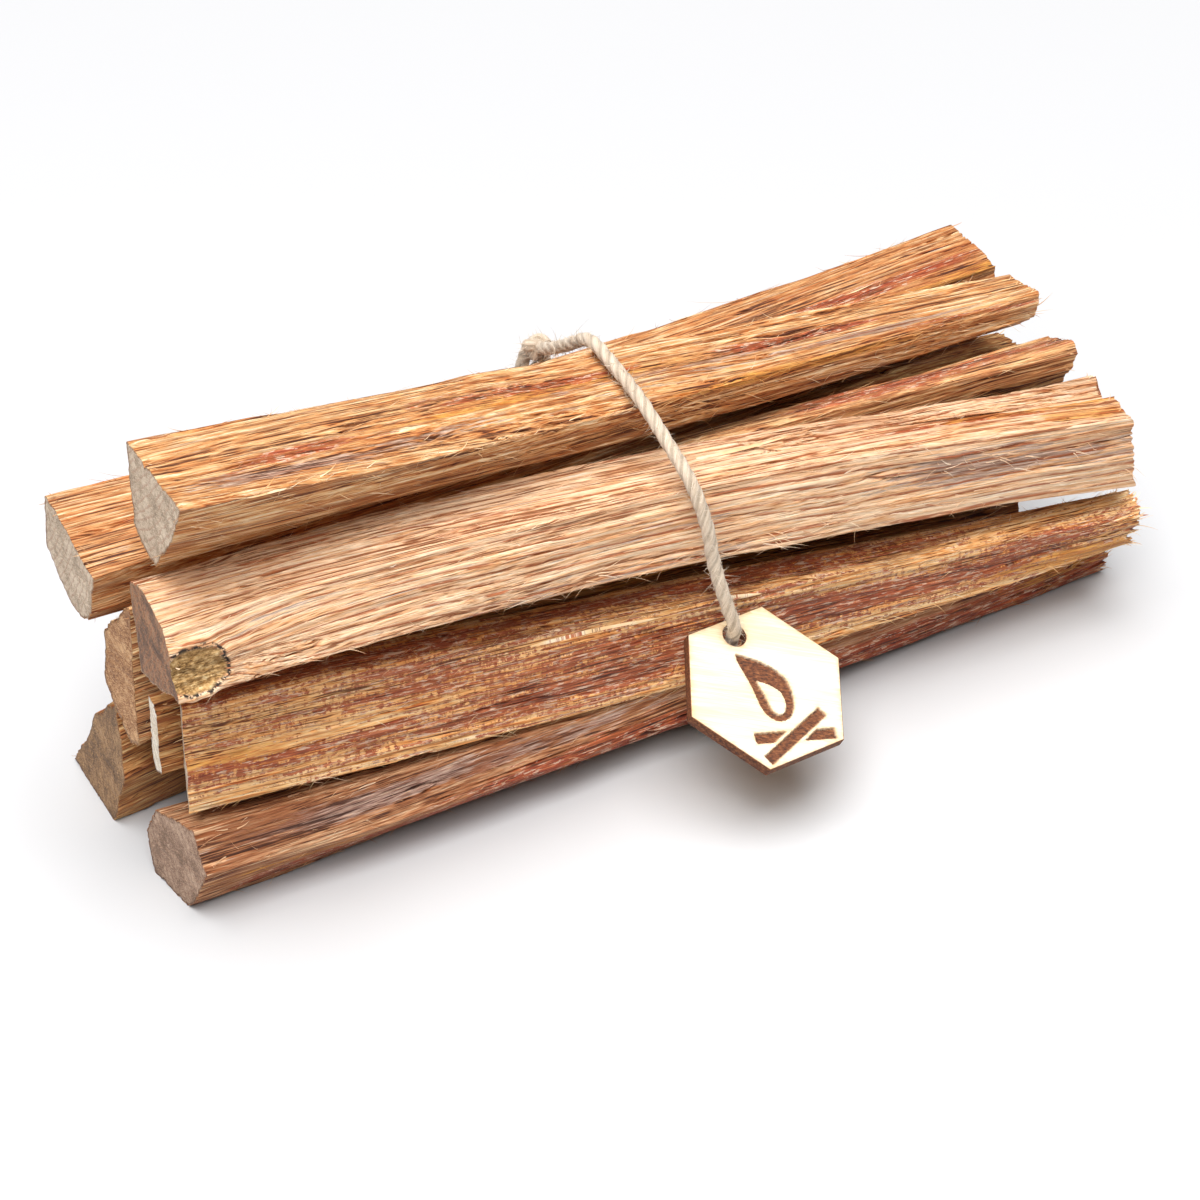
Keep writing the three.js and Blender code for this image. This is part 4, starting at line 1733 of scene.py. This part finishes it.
def sticks() -> list[Stick]:
    """Describes the eight sticks, each with its own wood and stains.

    Returns:
        The sticks, from the top of the bundle to the bottom.
    """
    brown = ("#5c2c10", "#935324", "#b67840", "#d09c60", "#e6c088")
    return [
        Stick(
            "stick_top_front", "pine_pale",
            SplitPine(
                "split_pine_top_front",
                straw=("#8e4216", "#bd7036", "#d99c60", "#ecc28e", "#f7dfb9"),
                grey_bias=0.02, pith=(34.0, 40.0),
            ),
            11, 260, 335, (Cut.SAWN, Cut.SAWN),
            resin=[
                Patch(-68, 118, 34, 22, 0.45), Patch(-20, 78, 60, 30, 0.34),
                Patch(45, 90, 60, 40, 0.34), Patch(70, 150, 50, 22, 0.34),
            ],
            grey=[
                Patch(-50, 134, 90, 22, 0.26), Patch(0, 110, 70, 24, 0.28),
                Patch(45, 135, 80, 20, 0.3),
            ],
            amber=[
                Patch(35, 160, 60, 18, 0.5), Patch(-40, 110, 40, 14, 0.35),
                Patch(-10, 90, 70, 40, 0.24),
            ],
            swells=[Patch(-52, 70, 62, 70, 1.1)],
            flaps=[Flap(-12, -24, 150, 0.5, 1.0)],
            tufts=[Patch(-30, 178, 110, 20, 90), Patch(60, 175, 80, 16, 50)],
        ),
        Stick(
            "stick_top_back", "pine_red",
            SplitPine(
                "split_pine_top_back", resin_bias=0.04, pith=(38.0, 30.0),
                straw=("#863d15", "#b1632d", "#c98950", "#dcac79", "#ecca9f"),
            ),
            12, 230, 300, (Cut.SAWN, Cut.SAWN),
            resin=[Patch(50, 110, 90, 30, 0.45), Patch(-70, 110, 30, 30, 0.2)],
            grey=[Patch(60, 80, 60, 30, 0.25), Patch(-80, 130, 30, 30, 0.15)],
            amber=[Patch(75, 140, 60, 24, 0.35)],
            burrs=110,
        ),
        Stick(
            "stick_middle_front", "pine_pale",
            SplitPine(
                "split_pine_middle_front",
                straw=("#b66a34", "#dda16c", "#eec095", "#f6d6b1", "#fbe8d0"),
                # painted crevice shade, warm orange-brown on this stick
                contrast=0.07, crevice_shade="#7d3f18",
                line="#a24e18", ring_strength=0.9, pith=(45.0, 36.0), ring_width=1.25,
                end=("#4a2f1b", "#7c5334", "#ab7d56"), grey_bias=-0.01,
            ),
            13, 265, 330, (Cut.SAWN, Cut.SNAPPED),
            grey=[
                Patch(-30, 165, 90, 30, 0.2), Patch(-10, 200, 80, 26, 0.25),
                Patch(70, 170, 70, 60, 0.34), Patch(-70, 150, 40, 20, 0.12),
            ],
            resin=[Patch(60, 100, 60, 20, 0.3)],
            amber=[Patch(75, 92, 60, 22, 0.5), Patch(88, 120, 22, 20, 0.3)],
            rebates=[Rebate(26.0, 130.0, 50.0, 92.0, 3.2)],
            stubs=[Stub(-96.5, 176.0, 6.6, 4.0)],
            flaps=[
                Flap(8, 28, 70, 1.6, 1.2), Flap(14, 39, 148, 0.9, 0.9), Flap(39, 33, 143, 0.7, 1.8),
                Flap(-16, -24, 196, 0.5, 1.0), Flap(80, 92, 190, 0.7, 1.2),
            ],
            tufts=[Patch(64, 158, 6, 5, 16), Patch(70, 166, 22, 6, 22), Patch(30, 205, 90, 5, 60)],
        ),
        Stick(
            "stick_middle_back", "pine_brown",
            SplitPine(
                "split_pine_middle_back", resin_bias=0.06,
                straw=("#7f421b", "#b87340", "#d49861", "#e6bc84", "#f3d8a8"),
                end=("#74492a", "#a97a50", "#cfa67a"),
            ),
            14, 180, 270, (Cut.SAWN, Cut.SAWN),
            resin=[Patch(70, 100, 90, 60, 0.35)],
            burrs=130, hairs=400,
        ),
        Stick(
            "stick_inner", "pine_brown",
            SplitPine("split_pine_inner", straw=brown, end=("#cbb89e", "#e6d8c4", "#f4ebdd")),
            15, 150, 240, hairs=400,
            amber=[Patch(40, 120, 120, 30, 0.25)],
        ),
        Stick(
            "stick_lower_front", "pine_red",
            SplitPine(
                "split_pine_lower_front",
                straw=("#ac4a14", "#e2944c", "#f6c07e", "#fbd8a4", "#feebca"),
                amber=("#c4691c", "#f2b14e"), saw_marks=0.8, resin_bias=0.02,
                pith=(-16.0, -60.0), ring_strength=0.6,
            ),
            16, 260, 330, (Cut.SAWN, Cut.FRAYED),
            resin=[
                Patch(-72, 140, 56, 46, 0.25), Patch(-22, 150, 80, 60, 0.32),
                Patch(-50, 212, 120, 52, 0.38), Patch(-12, 195, 60, 80, 0.2),
                Patch(45, 175, 76, 74, 0.52), Patch(85, 150, 40, 60, 0.24),
                # This long patch along the top, at bearing 88, is painted shade: it darkens the top
                # face in the dark gap under the stick above.
                Patch(-25, 88, 190, 50, 0.45),
            ],
            amber=[
                Patch(80, 200, 40, 40, 0.45), Patch(-90, 190, 30, 60, 0.35),
                Patch(0, 170, 90, 60, 0.2),
            ],
            flaps=[
                Flap(-30, -4, 125, 1.8, 1.1), Flap(6, 15, 125, 1.4, 0.8),
                Flap(20, 26, 240, 0.6, 1.6),
            ],
            tufts=[Patch(40, 225, 60, 6, 50), Patch(98, 150, 4, 90, 30)],
            burrs=120,
        ),
        Stick(
            "stick_bottom_back", "pine_brown",
            SplitPine("split_pine_bottom_back", straw=brown, end=("#54381f", "#8a6640", "#b08a60")),
            17, 180, 270, hairs=400,
        ),
        Stick(
            "stick_bottom_front", "pine_brown",
            SplitPine(
                "split_pine_bottom_front",
                straw=("#5c2a10", "#8f522a", "#b57b50", "#d4a176", "#ebc8a0"),
                end=("#6e5440", "#967660", "#b99c84"), grey_bias=0.03,
            ),
            18, 240, 320, (Cut.SAWN, Cut.FRAYED),
            grey=[Patch(-40, 150, 90, 40, 0.3)],
            resin=[Patch(-50, 215, 90, 60, 0.36), Patch(30, 200, 170, 80, 0.56)],
            amber=[Patch(-70, 190, 50, 30, 0.3), Patch(88, 180, 30, 90, 0.6)],
            tufts=[Patch(-92, 110, 6, 40, 26), Patch(92, 170, 8, 60, 30)],
            burrs=110,
        ),
    ]


def main() -> None:
    """Builds the studio, the sticks, the twine and the tag."""
    logging.basicConfig(level=logging.INFO, format="%(name)s: %(message)s")
    Studio().build()
    for stick in sticks():
        stick.build()
    Twine().build()
    Tag().build()


if __name__ == "__main__":
    main()
